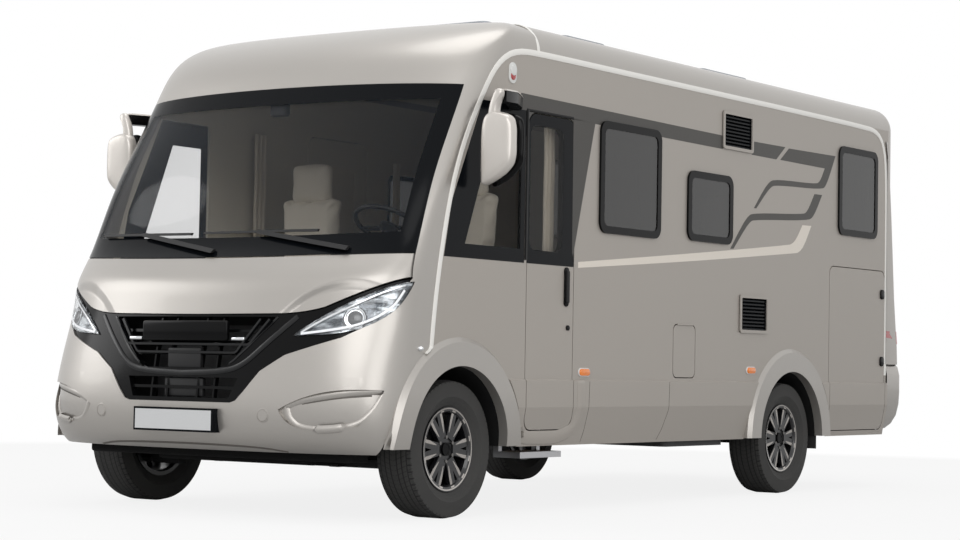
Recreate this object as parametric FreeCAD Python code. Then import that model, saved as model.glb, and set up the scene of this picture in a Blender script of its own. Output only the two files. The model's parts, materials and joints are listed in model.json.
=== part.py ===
"""Integrated motorhome on a light-van drivetrain, built as an assembly of separate panels and running gear.

Millimetres. +Z is up, the nose faces -Y and the driver's side is +X. The origin is on the ground, under the
middle of the overall box.
"""
import FreeCAD
import Part
import math
import os

V = FreeCAD.Vector

# Driving dimensions of the whole vehicle
OVERALL_LENGTH = 6600.0
BODY_WIDTH = 2380.0
ROOF_Z = 2755.0
FRONT_OVERHANG = 940.0
WHEELBASE = 3850.0
HALF_WIDTH = BODY_WIDTH / 2
FRONT_Y = -OVERALL_LENGTH / 2
REAR_Y = OVERALL_LENGTH / 2
FRONT_AXLE_Y = FRONT_Y + FRONT_OVERHANG
REAR_AXLE_Y = FRONT_AXLE_Y + WHEELBASE

# Coachwork
WALL = 34.0
SEAM = 6.0
TOUCH = 0.3
GLASS = 9.0
OVERRUN = 60.0
CAP_SEAM_Y = -1650.0
REAR_WALL_Y = 3140.0
REAR_SEAM_Y = 3010.0
REAR_CORNER_R = 110.0
ROOF_EDGE_R = 171.0
WALL_TOP_Z = ROOF_Z - ROOF_EDGE_R
SKIRT_Z = 748.0
SKIRT_PROUD = 12.0
SKIRT_STEP = 8.0
SKIRT_BOTTOM_Z = 372.0
SKIRT_TUCK = 40.0
SKIRT_BULGE_Z = 590.0

# Running gear
TYRE_R = 370.0
TYRE_W = 235.0
TREAD_CROWN = 8.0
TYRE_BEAD_R = 212.0
RIM_LIP_R = 226.0
RIM_LIP = 10.0
RIM_WALL = 9.0
RIM_INSET = 14.0
HUB_Z = 368.0
FRONT_TYRE_X = 1150.0
REAR_TYRE_X = 1154.0
KINGPIN_X = 950.0
HUB_R = 78.0
HUB_BORE_R = 33.0
SPOKES = 6
SPOKE_ROOT_W = 66.0
SPOKE_TIP_W = 118.0
SPOKE_FORK_SHARE = 0.42
SPOKE_FORK_W = 50.0
SPOKE_T = 26.0
ARCH_R = 446.0
FLARE_R = 598.0
FLARE_PROUD = 24.0
FLARE_DEPTH = 34.0
LINER_T = 8.0
STEER_CLEAR_X = 655.0
REAR_LINER_X = 880.0

# Floor and frame
FLOOR_Z = 545.0
FLOOR_T = 60.0
RAIL_X = 420.0
RAIL_W = 60.0
RAIL_REACH_SHARE = 0.6
RAIL_H = 130.0
RAIL_WEB = 8.0
CROSS_W = 70.0
FIREWALL_Y = -2690.0

# Nose: each row is a level of the plan outline, as shares. Height is a share of the roof height; the
# next two are the front of the centre line and the start of the straight side, as shares of the overhang behind
# the front axle; then the half width as a share of the body's, and the fullness of the curve between them.
NOSE_ROW_SHARES = [
    (0.126, -0.855, -0.460, 0.984, 2.4),
    (0.160, -0.940, -0.455, 0.997, 2.8),
    (0.205, -0.960, -0.450, 1.003, 3.0),
    (0.270, -0.940, -0.440, 1.002, 2.9),
    (0.347, -0.900, -0.430, 1.000, 2.5),
    (0.400, -0.862, -0.420, 1.000, 2.3),
    (0.454, -0.815, -0.400, 1.000, 2.3),
    (0.509, -0.660, -0.345, 1.000, 2.3),
    (0.653, -0.430, -0.160, 1.000, 2.2),
    (0.849, -0.145, 0.215, 1.000, 2.15),
    (0.909, -0.045, 0.330, 1.000, 2.15),
    (0.953, 0.115, 0.450, 0.9957, 2.2),
    (0.983, 0.320, 0.570, 0.9552, 2.3),
    (1.000, 0.520, 0.700, 0.8563, 2.5),
]
NOSE_HALF_POINTS = 7

# Outlines on the nose, seen from the front, right half: shares of the half width and of the roof height.
GLASS_TOP_SHARES = (0.854, 0.849)
GLASS_TOP_W_SHARE = 0.948
GLASS_BOTTOM_SHARES = (0.500, 0.5085)
GLASS_BOTTOM_W_SHARE = 0.9865
LAMP_SHARES = [
    (0.582, 0.3465), (0.700, 0.3835), (0.850, 0.4210), (0.998, 0.4530),
    (0.992, 0.4280), (0.965, 0.3960), (0.905, 0.3710), (0.820, 0.3560),
]
BONNET_LOWER_SHARES = [(0.0, 0.3850), (0.420, 0.3865), (0.600, 0.3905), (0.702, 0.4000)]
BONNET_FLANK_SHARES = [(0.850, 0.4290), (0.995, 0.4590)]
GRILLE_LOWER_SHARES = [
    (0.800, 0.3440), (0.560, 0.3100), (0.445, 0.2790), (0.370, 0.2400), (0.330, 0.2220), (0.300, 0.2180),
]
GRILLE_MOUTH_SHARES = [(0.470, 0.3790), (0.245, 0.2835), (0.0, 0.2835)]
GRILLE_INTAKE_SHARES = [(0.325, 0.2650), (0.285, 0.2260), (0.0, 0.2260)]
POD_SHARES = [
    (0.560, 0.2080), (0.640, 0.2250), (0.975, 0.2470), (0.955, 0.2130), (0.900, 0.1790), (0.700, 0.1720),
    (0.600, 0.1850),
]
POD_DEPTH = 18.0
BONNET_T = 6.0
LAMP_BACK_SHARE = 0.44
BONNET_BACK_SHARE = 0.36
BUMPER_TOP_Z = 745.0
LAMP_DEPTH = 120.0
LAMP_LENS_T = 14.0
GRILLE_INSET = 8.0
GRILLE_T = 42.0
BAR_H = 15.0
BAR_T = 26.0
BAR_SHARES = (0.2430, 0.3080, 0.3300, 0.3520)
RIB_W = 12.0
RIB_SHARES = (0.090, 0.185)
RADIATOR_W = 820.0
RADIATOR_T = 50.0
RADIATOR_Z = (520.0, 1010.0)
PLATE_W = 560.0
PLATE_H = 126.0
PLATE_T = 18.0
PLATE_Z = 505.0

# Left side: places behind the front axle, and heights
TRIM_SHARES = [(-0.286, 0.300), (-0.243, 0.439), (-0.133, 0.6145), (0.155, 0.819), (0.405, 0.9125),
               (0.640, 0.9350)]
DRIVER_DOOR = (630.0, 1120.0, 461.0, 2240.0)
DOOR_R = 75.0
CAB_GLASS_Z = (1393.0, 2262.0)
CAB_GLASS_INSET = 26.0
DOOR_GLASS = (652.0, 991.0, 1470.0, 2172.0)
WINDOW_A = (1395.0, 2070.0, 1622.0, 2257.0)
WINDOW_B = (2434.0, 2987.0, 1635.0, 2048.0)
WINDOW_C = (4563.0, 5162.0, 1793.0, 2392.0)
WINDOW_R = 55.0
WINDOW_FRAME = 30.0
WINDOW_PROUD = 14.0
VENT_A = (2866.0, 3273.0, 2236.0, 2481.0)
VENT_B = (3120.0, 3507.0, 1061.0, 1308.0)
VENT_FRAME = 20.0
VENT_PROUD = 12.0
VENT_SLATS = 9
SLAT_T = 9.0
SLAT_D = 20.0
FLAP = (2273.0, 2548.0, 765.0, 1094.0)
FLAP_R = 42.0
GARAGE = (4430.0, 5330.0, 410.0, 1555.0)
GARAGE_R = 60.0
# Right side
ENTRY_DOOR = (1560.0, 2190.0, 461.0, 2290.0)
ENTRY_GLASS = (1690.0, 2060.0, 1480.0, 2120.0)
WINDOW_D = (2430.0, 3230.0, 1560.0, 2110.0)
WINDOW_E = (4420.0, 5120.0, 1793.0, 2392.0)
VENT_C = (3480.0, 3890.0, 1150.0, 1400.0)

# Fittings
MIRROR_X = (1270.0, 1480.0)
MIRROR_Y = 66.0
MIRROR_T = 110.0
MIRROR_Z = (1775.0, 2110.0)
MIRROR_RAKE = 90.0
MIRROR_NECK_W = 92.0
MIRROR_SHOULDER = 62.0
MIRROR_ARM_Z = 2280.0
MIRROR_ARM_T = 56.0
MIRROR_ARM_Y = 440.0
MIRROR_EDGE_R = 24.0
MIRROR_RIM = 20.0
HATCHES = {
    "front": (330.0, 1230.0, 640.0, 540.0),
    "middle": (480.0, 1895.0, 560.0, 470.0),
    "rear": (480.0, 3685.0, 560.0, 630.0),
}
HATCH_H = 60.0
HATCH_R = 60.0
HATCH_FRAME = 26.0
STEP = (646.0, 1068.0, 305.0)
STEP_T = 34.0
STEP_DEPTH = 180.0
MUDFLAP_H = 250.0
MUDFLAP_W = 240.0
MUDFLAP_T = 10.0
TAIL_LAMP_Z = (905.0, 1235.0)
TAIL_LAMP_W = 150.0
REAR_BUMPER_Z = (400.0, 905.0)
REAR_WINDOW_X = 420.0
REAR_WINDOW_Z = (1650.0, 2150.0)

# Cab and living space
DASH_Z = 1340.0
SEAT_X = 520.0
SEAT_Y = 1010.0
SEAT_W = 520.0
STEER_R = 198.0
STEER_TUBE_R = 16.0
STEER_TILT = 30.0
DASH_BACK = 320.0
DASH_LIP = 90.0
DASH_DEPTH = 380.0
SEAT_Z = 960.0
SEAT_PAD = 100.0
SEAT_BACK_Z = 1640.0
STEER_Y = 480.0
STEER_Z = 1370.0
STEER_COLUMN = 330.0
ENGINE = (-390.0, 250.0, -2800.0, -2440.0, 400.0, 540.0)
TANK_H = 210.0
TANK_Y = 2350.0
BEAD_SHARE = 0.64
LIP_SHARE = 0.80
HINGE_R = 6.0
HINGE_W = 60.0
FLAP_HINGE_R = 4.0
DISC_R = 150.0
DISC_T = 28.0
UPRIGHT_W = 90.0
UPRIGHT_H = 120.0
STEER_ARM = 170.0
SWING_SHARE = 0.90
TOW_HOLE_R = 6.5
TOW_PITCH = (120.0, 70.0)
TOW_BACK = 160.0
SPRING_HALF = 620.0
SPRING_T = 45.0
MUDFLAP_Y = 460.0
WIPER_W = 14.0
ARM_WIDTH_SHARE = 1.6
ARM_RISE_SHARE = 1.5
WIPERS = [
    ((-14.0, 1412.0), (-998.0, 1522.0), (-253.0, 1514.0)),
    ((855.0, 1420.0), (-160.0, 1518.0), (618.0, 1521.0)),
]


def box(x0, x1, y0, y1, z0, z1):
    """A box between two opposite corners."""
    return Part.makeBox(x1 - x0, y1 - y0, z1 - z0, V(x0, y0, z0))


def prism_x(points, x0, x1):
    """A (y, z) outline pushed along X."""
    wire = Part.makePolygon([V(x0, y, z) for y, z in points] + [V(x0, *points[0])])
    return Part.Face(wire).extrude(V(x1 - x0, 0, 0))


def prism_y(points, y0, y1):
    """An (x, z) outline pushed along Y."""
    wire = Part.makePolygon([V(x, y0, z) for x, z in points] + [V(points[0][0], y0, points[0][1])])
    return Part.Face(wire).extrude(V(0, y1 - y0, 0))


def prism_z(points, z0, z1):
    """An (x, y) outline pushed along Z."""
    wire = Part.makePolygon([V(x, y, z0) for x, y in points] + [V(points[0][0], points[0][1], z0)])
    return Part.Face(wire).extrude(V(0, 0, z1 - z0))


def rounded_x(y0, y1, z0, z1, radius, x0, x1):
    """A slab along X whose four long edges are rounded."""
    slab = box(min(x0, x1), max(x0, x1), y0, y1, z0, z1)
    edges = [e for e in slab.Edges if abs(e.tangentAt(e.FirstParameter).x) > 0.5]
    return slab.makeFillet(radius, edges)


def rounded_z(x0, x1, y0, y1, radius, z0, z1):
    """A slab along Z whose four upright edges are rounded."""
    slab = box(x0, x1, y0, y1, z0, z1)
    edges = [e for e in slab.Edges if abs(e.tangentAt(e.FirstParameter).z) > 0.5]
    return slab.makeFillet(radius, edges)


def rod_x(x0, x1, y, z, radius):
    """A round bar along X."""
    return Part.makeCylinder(radius, x1 - x0, V(x0, y, z), V(1, 0, 0))


def mirror_x(shape):
    """The same shape on the other side of the vehicle."""
    return shape.mirror(V(0, 0, 0), V(1, 0, 0))


def cut(shape, *tools):
    for tool in tools:
        shape = shape.cut(tool)
    return shape


def join(shapes):
    first = shapes[0]
    return first.fuse(shapes[1:]).removeSplitter() if len(shapes) > 1 else first


def group(shapes):
    """Separate solids that share a node."""
    return Part.makeCompound([s for shape in shapes for s in shape.Solids])


def export(name, shape):
    solids = shape.Solids
    if not solids:
        raise ValueError(name + " has no solid")
    kept = solids[0] if len(solids) == 1 else Part.makeCompound(solids)
    kept.exportStep("parts/" + name + ".step")
    print(name, len(solids), round(sum(s.Volume for s in solids) / 1e6, 2), kept.isValid())


def axle(y):
    """A place along the vehicle, measured back from the front axle."""
    return FRONT_AXLE_Y + y


# Envelope

def plan_wire(z, centre_y, side_y, half, fullness):
    """One level of the plan outline: the curved front, the two sides and the back."""
    depth = side_y - centre_y
    right = []
    for i in range(1, NOSE_HALF_POINTS + 1):
        turn = math.pi / 2 * (1 - i / (NOSE_HALF_POINTS + 1))
        right.append((half * math.cos(turn) ** (2 / fullness),
                      side_y - depth * math.sin(turn) ** (2 / fullness)))
    points = [V(-half, side_y, z)] + [V(-x, y, z) for x, y in reversed(right)] + [V(0, centre_y, z)]
    points += [V(x, y, z) for x, y in right] + [V(half, side_y, z)]
    curve = Part.BSplineCurve()
    curve.interpolate(Points=points, InitialTangent=V(0, -1, 0), FinalTangent=V(0, 1, 0))
    corners = [V(half, side_y, z), V(half, CAP_SEAM_Y, z), V(-half, CAP_SEAM_Y, z), V(-half, side_y, z)]
    sides = [Part.makeLine(a, b) for a, b in zip(corners, corners[1:])]
    return Part.Wire([curve.toShape()] + sides)


def nose_wires():
    wires = []
    for z, centre, side, width, fullness in NOSE_ROW_SHARES:
        places = (axle(centre * FRONT_OVERHANG), axle(side * FRONT_OVERHANG))
        wires.append(plan_wire(z * ROOF_Z, *places, width * HALF_WIDTH, fullness))
    return wires


NOSE = Part.makeLoft(nose_wires(), True, False)


def nose_solid(inset):
    """The whole front end as one solid, drawn in by inset at the front, the sides and the top."""
    if not inset:
        return NOSE
    matrix = FreeCAD.Matrix()
    matrix.scale((HALF_WIDTH - inset) / HALF_WIDTH, 1, (ROOF_Z - inset) / ROOF_Z)
    matrix.move(V(0, inset, 0))
    return NOSE.transformGeometry(matrix)


def cross_profile(inset, y0, y1, bottom):
    """The vehicle's section across, with rounded roof edges, pushed along Y."""
    half, top, radius = HALF_WIDTH - inset, ROOF_Z - inset, ROOF_EDGE_R - inset
    slab = box(-half, half, y0, y1, bottom, top)
    edges = [
        e for e in slab.Edges
        if abs(e.tangentAt(e.FirstParameter).y) > 0.5 and e.CenterOfMass.z > (bottom + top) / 2
    ]
    return slab.makeFillet(radius, edges)


def both_sides(shape):
    """The right half of a shape and its mirror image, joined on the middle plane."""
    reach = HALF_WIDTH + OVERRUN
    half = shape.common(box(-reach, 0, FRONT_Y - OVERRUN, REAR_Y, 0, ROOF_Z + OVERRUN))
    return half.fuse(mirror_x(half)).removeSplitter()


def skin(mask, near, far):
    """The part of the nose inside a mask, between two distances in from its surface."""
    return mask.common(nose_solid(near)).cut(nose_solid(far))


def front_outline(shares, y0, y1, mirror=True):
    """A right half outline given as shares, closed over the centre line where mirror is set."""
    half = [(x * HALF_WIDTH, z * ROOF_Z) for x, z in shares]
    if mirror:
        half = half + [(-x, z) for x, z in reversed(half) if x > 0]
    return prism_y(half, y0, y1)


def curved_outline(rows, y0, y1):
    """Closed outline in the XZ plane; each row of (x, z) points is one smooth edge or a straight one."""
    edges = []
    for row in rows:
        points = [V(x, y0, z) for x, z in row]
        if len(points) == 2:
            edges.append(Part.makeLine(*points))
        else:
            curve = Part.BSplineCurve()
            curve.interpolate(points)
            edges.append(curve.toShape())
    return Part.Face(Part.Wire(edges)).extrude(V(0, y1 - y0, 0))


NOSE_Y = (FRONT_Y - OVERRUN, FRONT_AXLE_Y + FRONT_OVERHANG / 2)
LAMP_Y = (FRONT_Y - OVERRUN, FRONT_AXLE_Y - FRONT_OVERHANG * LAMP_BACK_SHARE)
BONNET_Y = (FRONT_Y - OVERRUN, FRONT_AXLE_Y - FRONT_OVERHANG * BONNET_BACK_SHARE)


def glass_mask():
    """The windshield's outline: sill and header are bowed, the pillars nearly straight."""
    low_mid, low_end = (s * ROOF_Z for s in GLASS_BOTTOM_SHARES)
    top_mid, top_end = (s * ROOF_Z for s in GLASS_TOP_SHARES)
    low_x, top_x = GLASS_BOTTOM_W_SHARE * HALF_WIDTH, GLASS_TOP_W_SHARE * HALF_WIDTH
    rows = [
        [(-low_x, low_end), (0, low_mid), (low_x, low_end)],
        [(low_x, low_end), (top_x, top_end)],
        [(top_x, top_end), (0, top_mid), (-top_x, top_end)],
        [(-top_x, top_end), (-low_x, low_end)],
    ]
    return curved_outline(rows, *NOSE_Y)


def lamp_mask():
    points = [(x * HALF_WIDTH, z * ROOF_Z) for x, z in LAMP_SHARES]
    upper, lower = points[:4], points[3:] + points[:1]
    left = curved_outline([upper, lower], *LAMP_Y)
    return left.fuse(mirror_x(left))


def bonnet_mask(gap):
    """The bonnet's outline, drawn in by gap all round."""
    low = [(x * HALF_WIDTH, z * ROOF_Z + gap) for x, z in BONNET_LOWER_SHARES]
    flank = [(x * HALF_WIDTH - gap, z * ROOF_Z + gap) for x, z in BONNET_FLANK_SHARES]
    low_mid, low_end = (s * ROOF_Z - gap for s in GLASS_BOTTOM_SHARES)
    low_x = GLASS_BOTTOM_W_SHARE * HALF_WIDTH - gap
    side = [low[-1]] + flank
    rows = [
        [(-x, z) for x, z in reversed(low)] + low[1:],
        side,
        [side[-1], (low_x, low_end)],
        [(low_x, low_end), (0, low_mid), (-low_x, low_end)],
        [(-low_x, low_end), (-side[-1][0], side[-1][1])],
        [(-x, z) for x, z in reversed(side)],
    ]
    return curved_outline(rows, *BONNET_Y)


def grille_mask():
    """The dark opening between the bonnet, the lamps and the bumper."""
    low = GRILLE_LOWER_SHARES
    flank = [BONNET_LOWER_SHARES[-1]] + BONNET_FLANK_SHARES
    lamp_foot = LAMP_SHARES[-2]
    half = [BONNET_LOWER_SHARES[0]] + flank + [LAMP_SHARES[5], lamp_foot] + low + [(0.0, low[-1][1])]
    return front_outline(half, *LAMP_Y)


def pod_mask():
    half = [(x * HALF_WIDTH, z * ROOF_Z) for x, z in POD_SHARES]
    left = curved_outline([half[:3], half[2:5], half[4:] + half[:1]], *NOSE_Y)
    return left.fuse(mirror_x(left))


def trim_face_points():
    """The seam between the front cap and the side wall, seen from the side."""
    return [(axle(y * FRONT_OVERHANG), z * ROOF_Z) for y, z in TRIM_SHARES]


def trim_edge(x):
    curve = Part.BSplineCurve()
    curve.interpolate([V(x, y, z) for y, z in trim_face_points()])
    return curve.toShape()


def cap_side_mask(x0, x1):
    """Everything ahead of the trim seam, pushed along X."""
    points = trim_face_points()
    (y_low, z_low), (y_top, z_top) = points[0], points[-1]
    front = FRONT_Y - OVERRUN
    top = ROOF_Z + OVERRUN
    corners = [
        V(x0, y_top, z_top), V(x0, CAP_SEAM_Y, z_top), V(x0, CAP_SEAM_Y, top),
        V(x0, front, top), V(x0, front, 0), V(x0, y_low, 0), V(x0, y_low, z_low),
    ]
    lines = [Part.makeLine(a, b) for a, b in zip(corners, corners[1:])]
    return Part.Face(Part.Wire([trim_edge(x0)] + lines)).extrude(V(x1 - x0, 0, 0))


def arch_disc(y, radius):
    """A disc through both sides of the vehicle, round an axle."""
    reach = HALF_WIDTH + OVERRUN
    return rod_x(-reach, reach, y, HUB_Z, radius)


def arch_well(y, radius, inner_x):
    """The room of the two wheels of one axle, open below."""
    reach = HALF_WIDTH + OVERRUN
    left = rod_x(inner_x, reach, y, HUB_Z, radius)
    left = left.fuse(box(inner_x, reach, y - radius, y + radius, 0, HUB_Z))
    return left.fuse(mirror_x(left))


# Front end

def build_front_end():
    outer = nose_solid(0)
    inner = nose_solid(WALL)
    reach = HALF_WIDTH + OVERRUN
    shell = cap_side_mask(-reach, reach).common(outer).cut(inner)
    shell = cut(shell, arch_disc(FRONT_AXLE_Y, FLARE_R))
    shell = cut(shell, box(-reach, reach, FRONT_AXLE_Y, CAP_SEAM_Y + OVERRUN, 0, HUB_Z + FLARE_R / 2))
    glass, lamp, grille = glass_mask(), lamp_mask(), grille_mask()
    opened = cut(shell, glass, bonnet_mask(0), lamp, grille)
    low_slab = box(-reach, reach, FRONT_Y - OVERRUN, CAP_SEAM_Y, 0, BUMPER_TOP_Z)
    pod = pod_mask().cut(nose_solid(POD_DEPTH))
    export("front_bumper", both_sides(opened.common(low_slab).cut(pod)))
    export("front_cap", both_sides(opened.cut(low_slab)))
    export("windshield", both_sides(skin(glass, 0, GLASS)))
    export("bonnet", both_sides(skin(bonnet_mask(SEAM), 0, BONNET_T)))
    export("headlamp_lenses", both_sides(skin(lamp, 0, LAMP_LENS_T)))
    export("headlamp_bowls", both_sides(skin(lamp, LAMP_LENS_T, LAMP_LENS_T + LAMP_DEPTH)))
    build_grille(grille, bonnet_mask(0), lamp)


def build_grille(grille, bonnet, lamp):
    """Gloss frame with its mouth and intake cut through, crossed by bars and ribs; the radiator is behind."""
    near, far = GRILLE_INSET, GRILLE_INSET + GRILLE_T
    top_z = BONNET_LOWER_SHARES[0][1] * ROOF_Z - GRILLE_INSET
    mouth = [(0.0, top_z / ROOF_Z), (GRILLE_MOUTH_SHARES[0][0], top_z / ROOF_Z)] + GRILLE_MOUTH_SHARES
    intake = [(0.0, GRILLE_INTAKE_SHARES[0][1])] + GRILLE_INTAKE_SHARES
    mouth_mask, intake_mask = (front_outline(s, *NOSE_Y) for s in (mouth, intake))
    shell = nose_solid(near).cut(nose_solid(far))
    pieces = [shell.common(cut(grille, bonnet, lamp, mouth_mask, intake_mask))]
    slabs = [(-HALF_WIDTH, HALF_WIDTH, s * ROOF_Z, s * ROOF_Z + BAR_H) for s in BAR_SHARES]
    for share in RIB_SHARES:
        x = share * HALF_WIDTH
        slabs += [(x - RIB_W / 2, x + RIB_W / 2, 0, ROOF_Z), (-x - RIB_W / 2, -x + RIB_W / 2, 0, ROOF_Z)]
    for x0, x1, z0, z1 in slabs:
        for mask in (mouth_mask, intake_mask):
            strip = mask.common(box(x0, x1, *LAMP_Y, z0, z1))
            if strip.Solids:
                pieces.append(skin(strip, far - BAR_T, far))
    export("grille", both_sides(join(pieces)))
    radiator_y = axle(-FRONT_OVERHANG * RAIL_REACH_SHARE) - RADIATOR_T - TOUCH
    core = box(-RADIATOR_W / 2, RADIATOR_W / 2, radiator_y, radiator_y + RADIATOR_T, *RADIATOR_Z)
    export("radiator", core)


# Coachwork behind the front end

def side_skin(sign):
    """Wall above and stepped skirt below, as one long panel on one side."""
    half, proud = HALF_WIDTH, HALF_WIDTH + SKIRT_PROUD
    inner = half - WALL
    section = [
        (inner, SKIRT_BOTTOM_Z), (proud - SKIRT_TUCK, SKIRT_BOTTOM_Z), (proud, SKIRT_BULGE_Z),
        (proud, SKIRT_Z - SKIRT_STEP), (half, SKIRT_Z), (half, WALL_TOP_Z), (inner, WALL_TOP_Z),
    ]
    skin = prism_y(section, FRONT_Y, REAR_SEAM_Y)
    reach = HALF_WIDTH + OVERRUN
    skin = skin.cut(cap_side_mask(-reach, reach))
    for y in (FRONT_AXLE_Y, REAR_AXLE_Y):
        skin = skin.cut(arch_disc(y, FLARE_R))
    front_room = box(-reach, reach, FRONT_Y, axle(FLARE_R / 2), 0, HUB_Z + FLARE_R / 2)
    rear_room = box(-reach, reach, REAR_AXLE_Y - FLARE_R, REAR_AXLE_Y + FLARE_R, 0, HUB_Z)
    skin = cut(skin, front_room, rear_room)
    return skin if sign > 0 else mirror_x(skin)


def side_panel(rect, radius, gap, sign):
    """The room of a door or flap in the side wall, drawn in by gap, right through the wall."""
    y0, y1, z0, z1 = rect
    near, far = sorted((sign * (HALF_WIDTH - WALL - OVERRUN), sign * (HALF_WIDTH + OVERRUN)))
    return rounded_x(axle(y0) + gap, axle(y1) - gap, z0 + gap, z1 - gap, radius, near, far)


def side_plate(rect, radius, x0, x1, sign, gap=0.0):
    """A rounded plate on one side between two distances from the middle."""
    y0, y1, z0, z1 = rect
    near, far = sorted((sign * x0, sign * x1))
    return rounded_x(axle(y0) + gap, axle(y1) - gap, z0 + gap, z1 - gap, radius, near, far)


def cab_glass_outline(gap):
    """The front side window: its front edge runs along the trim seam."""
    z0, z1 = CAB_GLASS_Z[0] + gap, CAB_GLASS_Z[1] - gap
    back = axle(DRIVER_DOOR[0]) - CAB_GLASS_INSET - gap
    rows = trim_face_points()
    points = []
    for (ya, za), (yb, zb) in zip(rows, rows[1:]):
        for z in (z0, z1):
            if min(za, zb) <= z < max(za, zb):
                share = (z - za) / (zb - za)
                points.append((ya + share * (yb - ya) + CAB_GLASS_INSET + gap, z))
        if z0 < zb < z1:
            points.append((yb + CAB_GLASS_INSET + gap, zb))
    points.sort(key=lambda p: p[1])
    return points + [(back, z1), (back, z0)]


def framed_window(rect, sign):
    """Frame proud of the wall and the pane that sits in it."""
    y0, y1, z0, z1 = rect
    half = HALF_WIDTH
    outer = side_plate(rect, WINDOW_R, half - WALL, half, sign)
    lip_rect = (y0 - WINDOW_PROUD, y1 + WINDOW_PROUD, z0 - WINDOW_PROUD, z1 + WINDOW_PROUD)
    lip = side_plate(lip_rect, WINDOW_R + WINDOW_PROUD, half, half + WINDOW_PROUD, sign)
    hole = side_plate(rect, WINDOW_R - WINDOW_FRAME / 2, half - WALL - OVERRUN, half + OVERRUN, sign,
                      WINDOW_FRAME)
    pane = side_plate(rect, WINDOW_R - WINDOW_FRAME / 2, half, half + GLASS, sign, WINDOW_FRAME)
    return outer.fuse(lip).removeSplitter().cut(hole), pane


def vent(rect, sign):
    """Louvred vent: a frame with a row of sloping slats."""
    y0, y1, z0, z1 = rect
    half = HALF_WIDTH
    outer = side_plate(rect, VENT_FRAME, half - WALL, half + VENT_PROUD, sign)
    hole = side_plate(rect, VENT_FRAME / 2, half - WALL - OVERRUN, half + OVERRUN, sign, VENT_FRAME)
    pieces = [outer.cut(hole)]
    pitch = (z1 - z0 - 2 * VENT_FRAME) / VENT_SLATS
    for i in range(VENT_SLATS):
        z = z0 + VENT_FRAME + (i + 0.5) * pitch
        slope = [(half - SLAT_D, z + SLAT_D / 2), (half, z - SLAT_D / 2), (half, z - SLAT_D / 2 + SLAT_T),
                 (half - SLAT_D, z + SLAT_D / 2 + SLAT_T)]
        slat = prism_y([(sign * x, h) for x, h in slope], axle(y0) + VENT_FRAME - TOUCH,
                       axle(y1) - VENT_FRAME + TOUCH)
        pieces.append(slat)
    return join(pieces)


SIDES = (("left", 1), ("right", -1))
WINDOWS = {1: (WINDOW_A, WINDOW_B, WINDOW_C), -1: (WINDOW_D, WINDOW_E)}
VENTS = {1: (VENT_A, VENT_B), -1: (VENT_C,)}
DOORS = {1: ("driver_door", DRIVER_DOOR, DOOR_GLASS), -1: ("entry_door", ENTRY_DOOR, ENTRY_GLASS)}


def build_sides():
    skirts, frames, panes, louvres, cab_panes = [], [], [], [], []
    for side, sign in SIDES:
        wall = side_skin(sign)
        name, door_rect, glass_rect = DOORS[sign]
        door = wall.common(side_panel(door_rect, DOOR_R, SEAM / 2, sign))
        glass_room = side_panel(glass_rect, WINDOW_R, 0, sign)
        export(name, door.cut(glass_room))
        near, far = HALF_WIDTH - WALL / 2, HALF_WIDTH - TOUCH
        export(name + "_glass", side_plate(glass_rect, WINDOW_R, near, far, sign))
        garage = wall.common(side_panel(GARAGE, GARAGE_R, SEAM / 2, sign))
        export("garage_door_" + side, garage)
        wall = cut(wall, side_panel(door_rect, DOOR_R, -SEAM / 2, sign),
                   side_panel(GARAGE, GARAGE_R, -SEAM / 2, sign))
        if sign > 0:
            export("service_flap", wall.common(side_panel(FLAP, FLAP_R, SEAM / 2, sign)))
            wall = wall.cut(side_panel(FLAP, FLAP_R, -SEAM / 2, sign))
            pin = V(HALF_WIDTH + FLAP_HINGE_R, axle(FLAP[0]) + FLAP_R, FLAP[3])
            wall = wall.fuse(Part.makeCylinder(FLAP_HINGE_R + TOUCH, FLAP[1] - FLAP[0] - 2 * FLAP_R, pin,
                                               V(0, 1, 0)))
        outline = cab_glass_outline(0)
        wall = wall.cut(prism_x(outline, sign * (HALF_WIDTH - WALL - OVERRUN),
                                sign * (HALF_WIDTH + OVERRUN)))
        cab_panes.append(prism_x(outline, sign * near, sign * far))
        for rect in WINDOWS[sign]:
            wall = wall.cut(side_plate(rect, WINDOW_R, HALF_WIDTH - WALL - OVERRUN, HALF_WIDTH + OVERRUN,
                                       sign))
            frame, pane = framed_window(rect, sign)
            frames.append(frame)
            panes.append(pane)
        for rect in VENTS[sign]:
            wall = wall.cut(side_plate(rect, VENT_FRAME, HALF_WIDTH - WALL - OVERRUN, HALF_WIDTH + OVERRUN,
                                       sign))
            louvres.append(vent(rect, sign))
        reach = HALF_WIDTH + OVERRUN
        low = box(-reach, reach, FRONT_Y, REAR_Y, 0, SKIRT_Z)
        skirts.append(wall.common(low))
        export("side_wall_" + side, wall.cut(low))
    export("skirts", group(skirts))
    export("window_frames", group(frames))
    export("wall_vents", group(louvres))
    return panes + cab_panes


def hatch_box(rect, grow, z0, z1, radius):
    x, y, width, length = rect
    y = axle(y)
    w, d = width / 2 + grow, length / 2 + grow
    return rounded_z(x - w, x + w, y - d, y + d, radius, z0, z1)


def hatch_hinges(rect, sill):
    """Two hinge pins on brackets behind a roof light."""
    x, y, width, length = rect
    edge = axle(y) + length / 2
    pin_y = edge + HATCH_FRAME / 2 + HINGE_R + TOUCH
    pieces = []
    for place in (x - width / 3, x + width / 3):
        low, high = place - HINGE_W / 2, place + HINGE_W / 2
        pieces.append(box(low, high, edge - HINGE_R, pin_y + HINGE_R, ROOF_Z, sill + TOUCH))
        pieces.append(rod_x(low, high, pin_y, sill + HINGE_R, HINGE_R))
    return pieces


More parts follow.
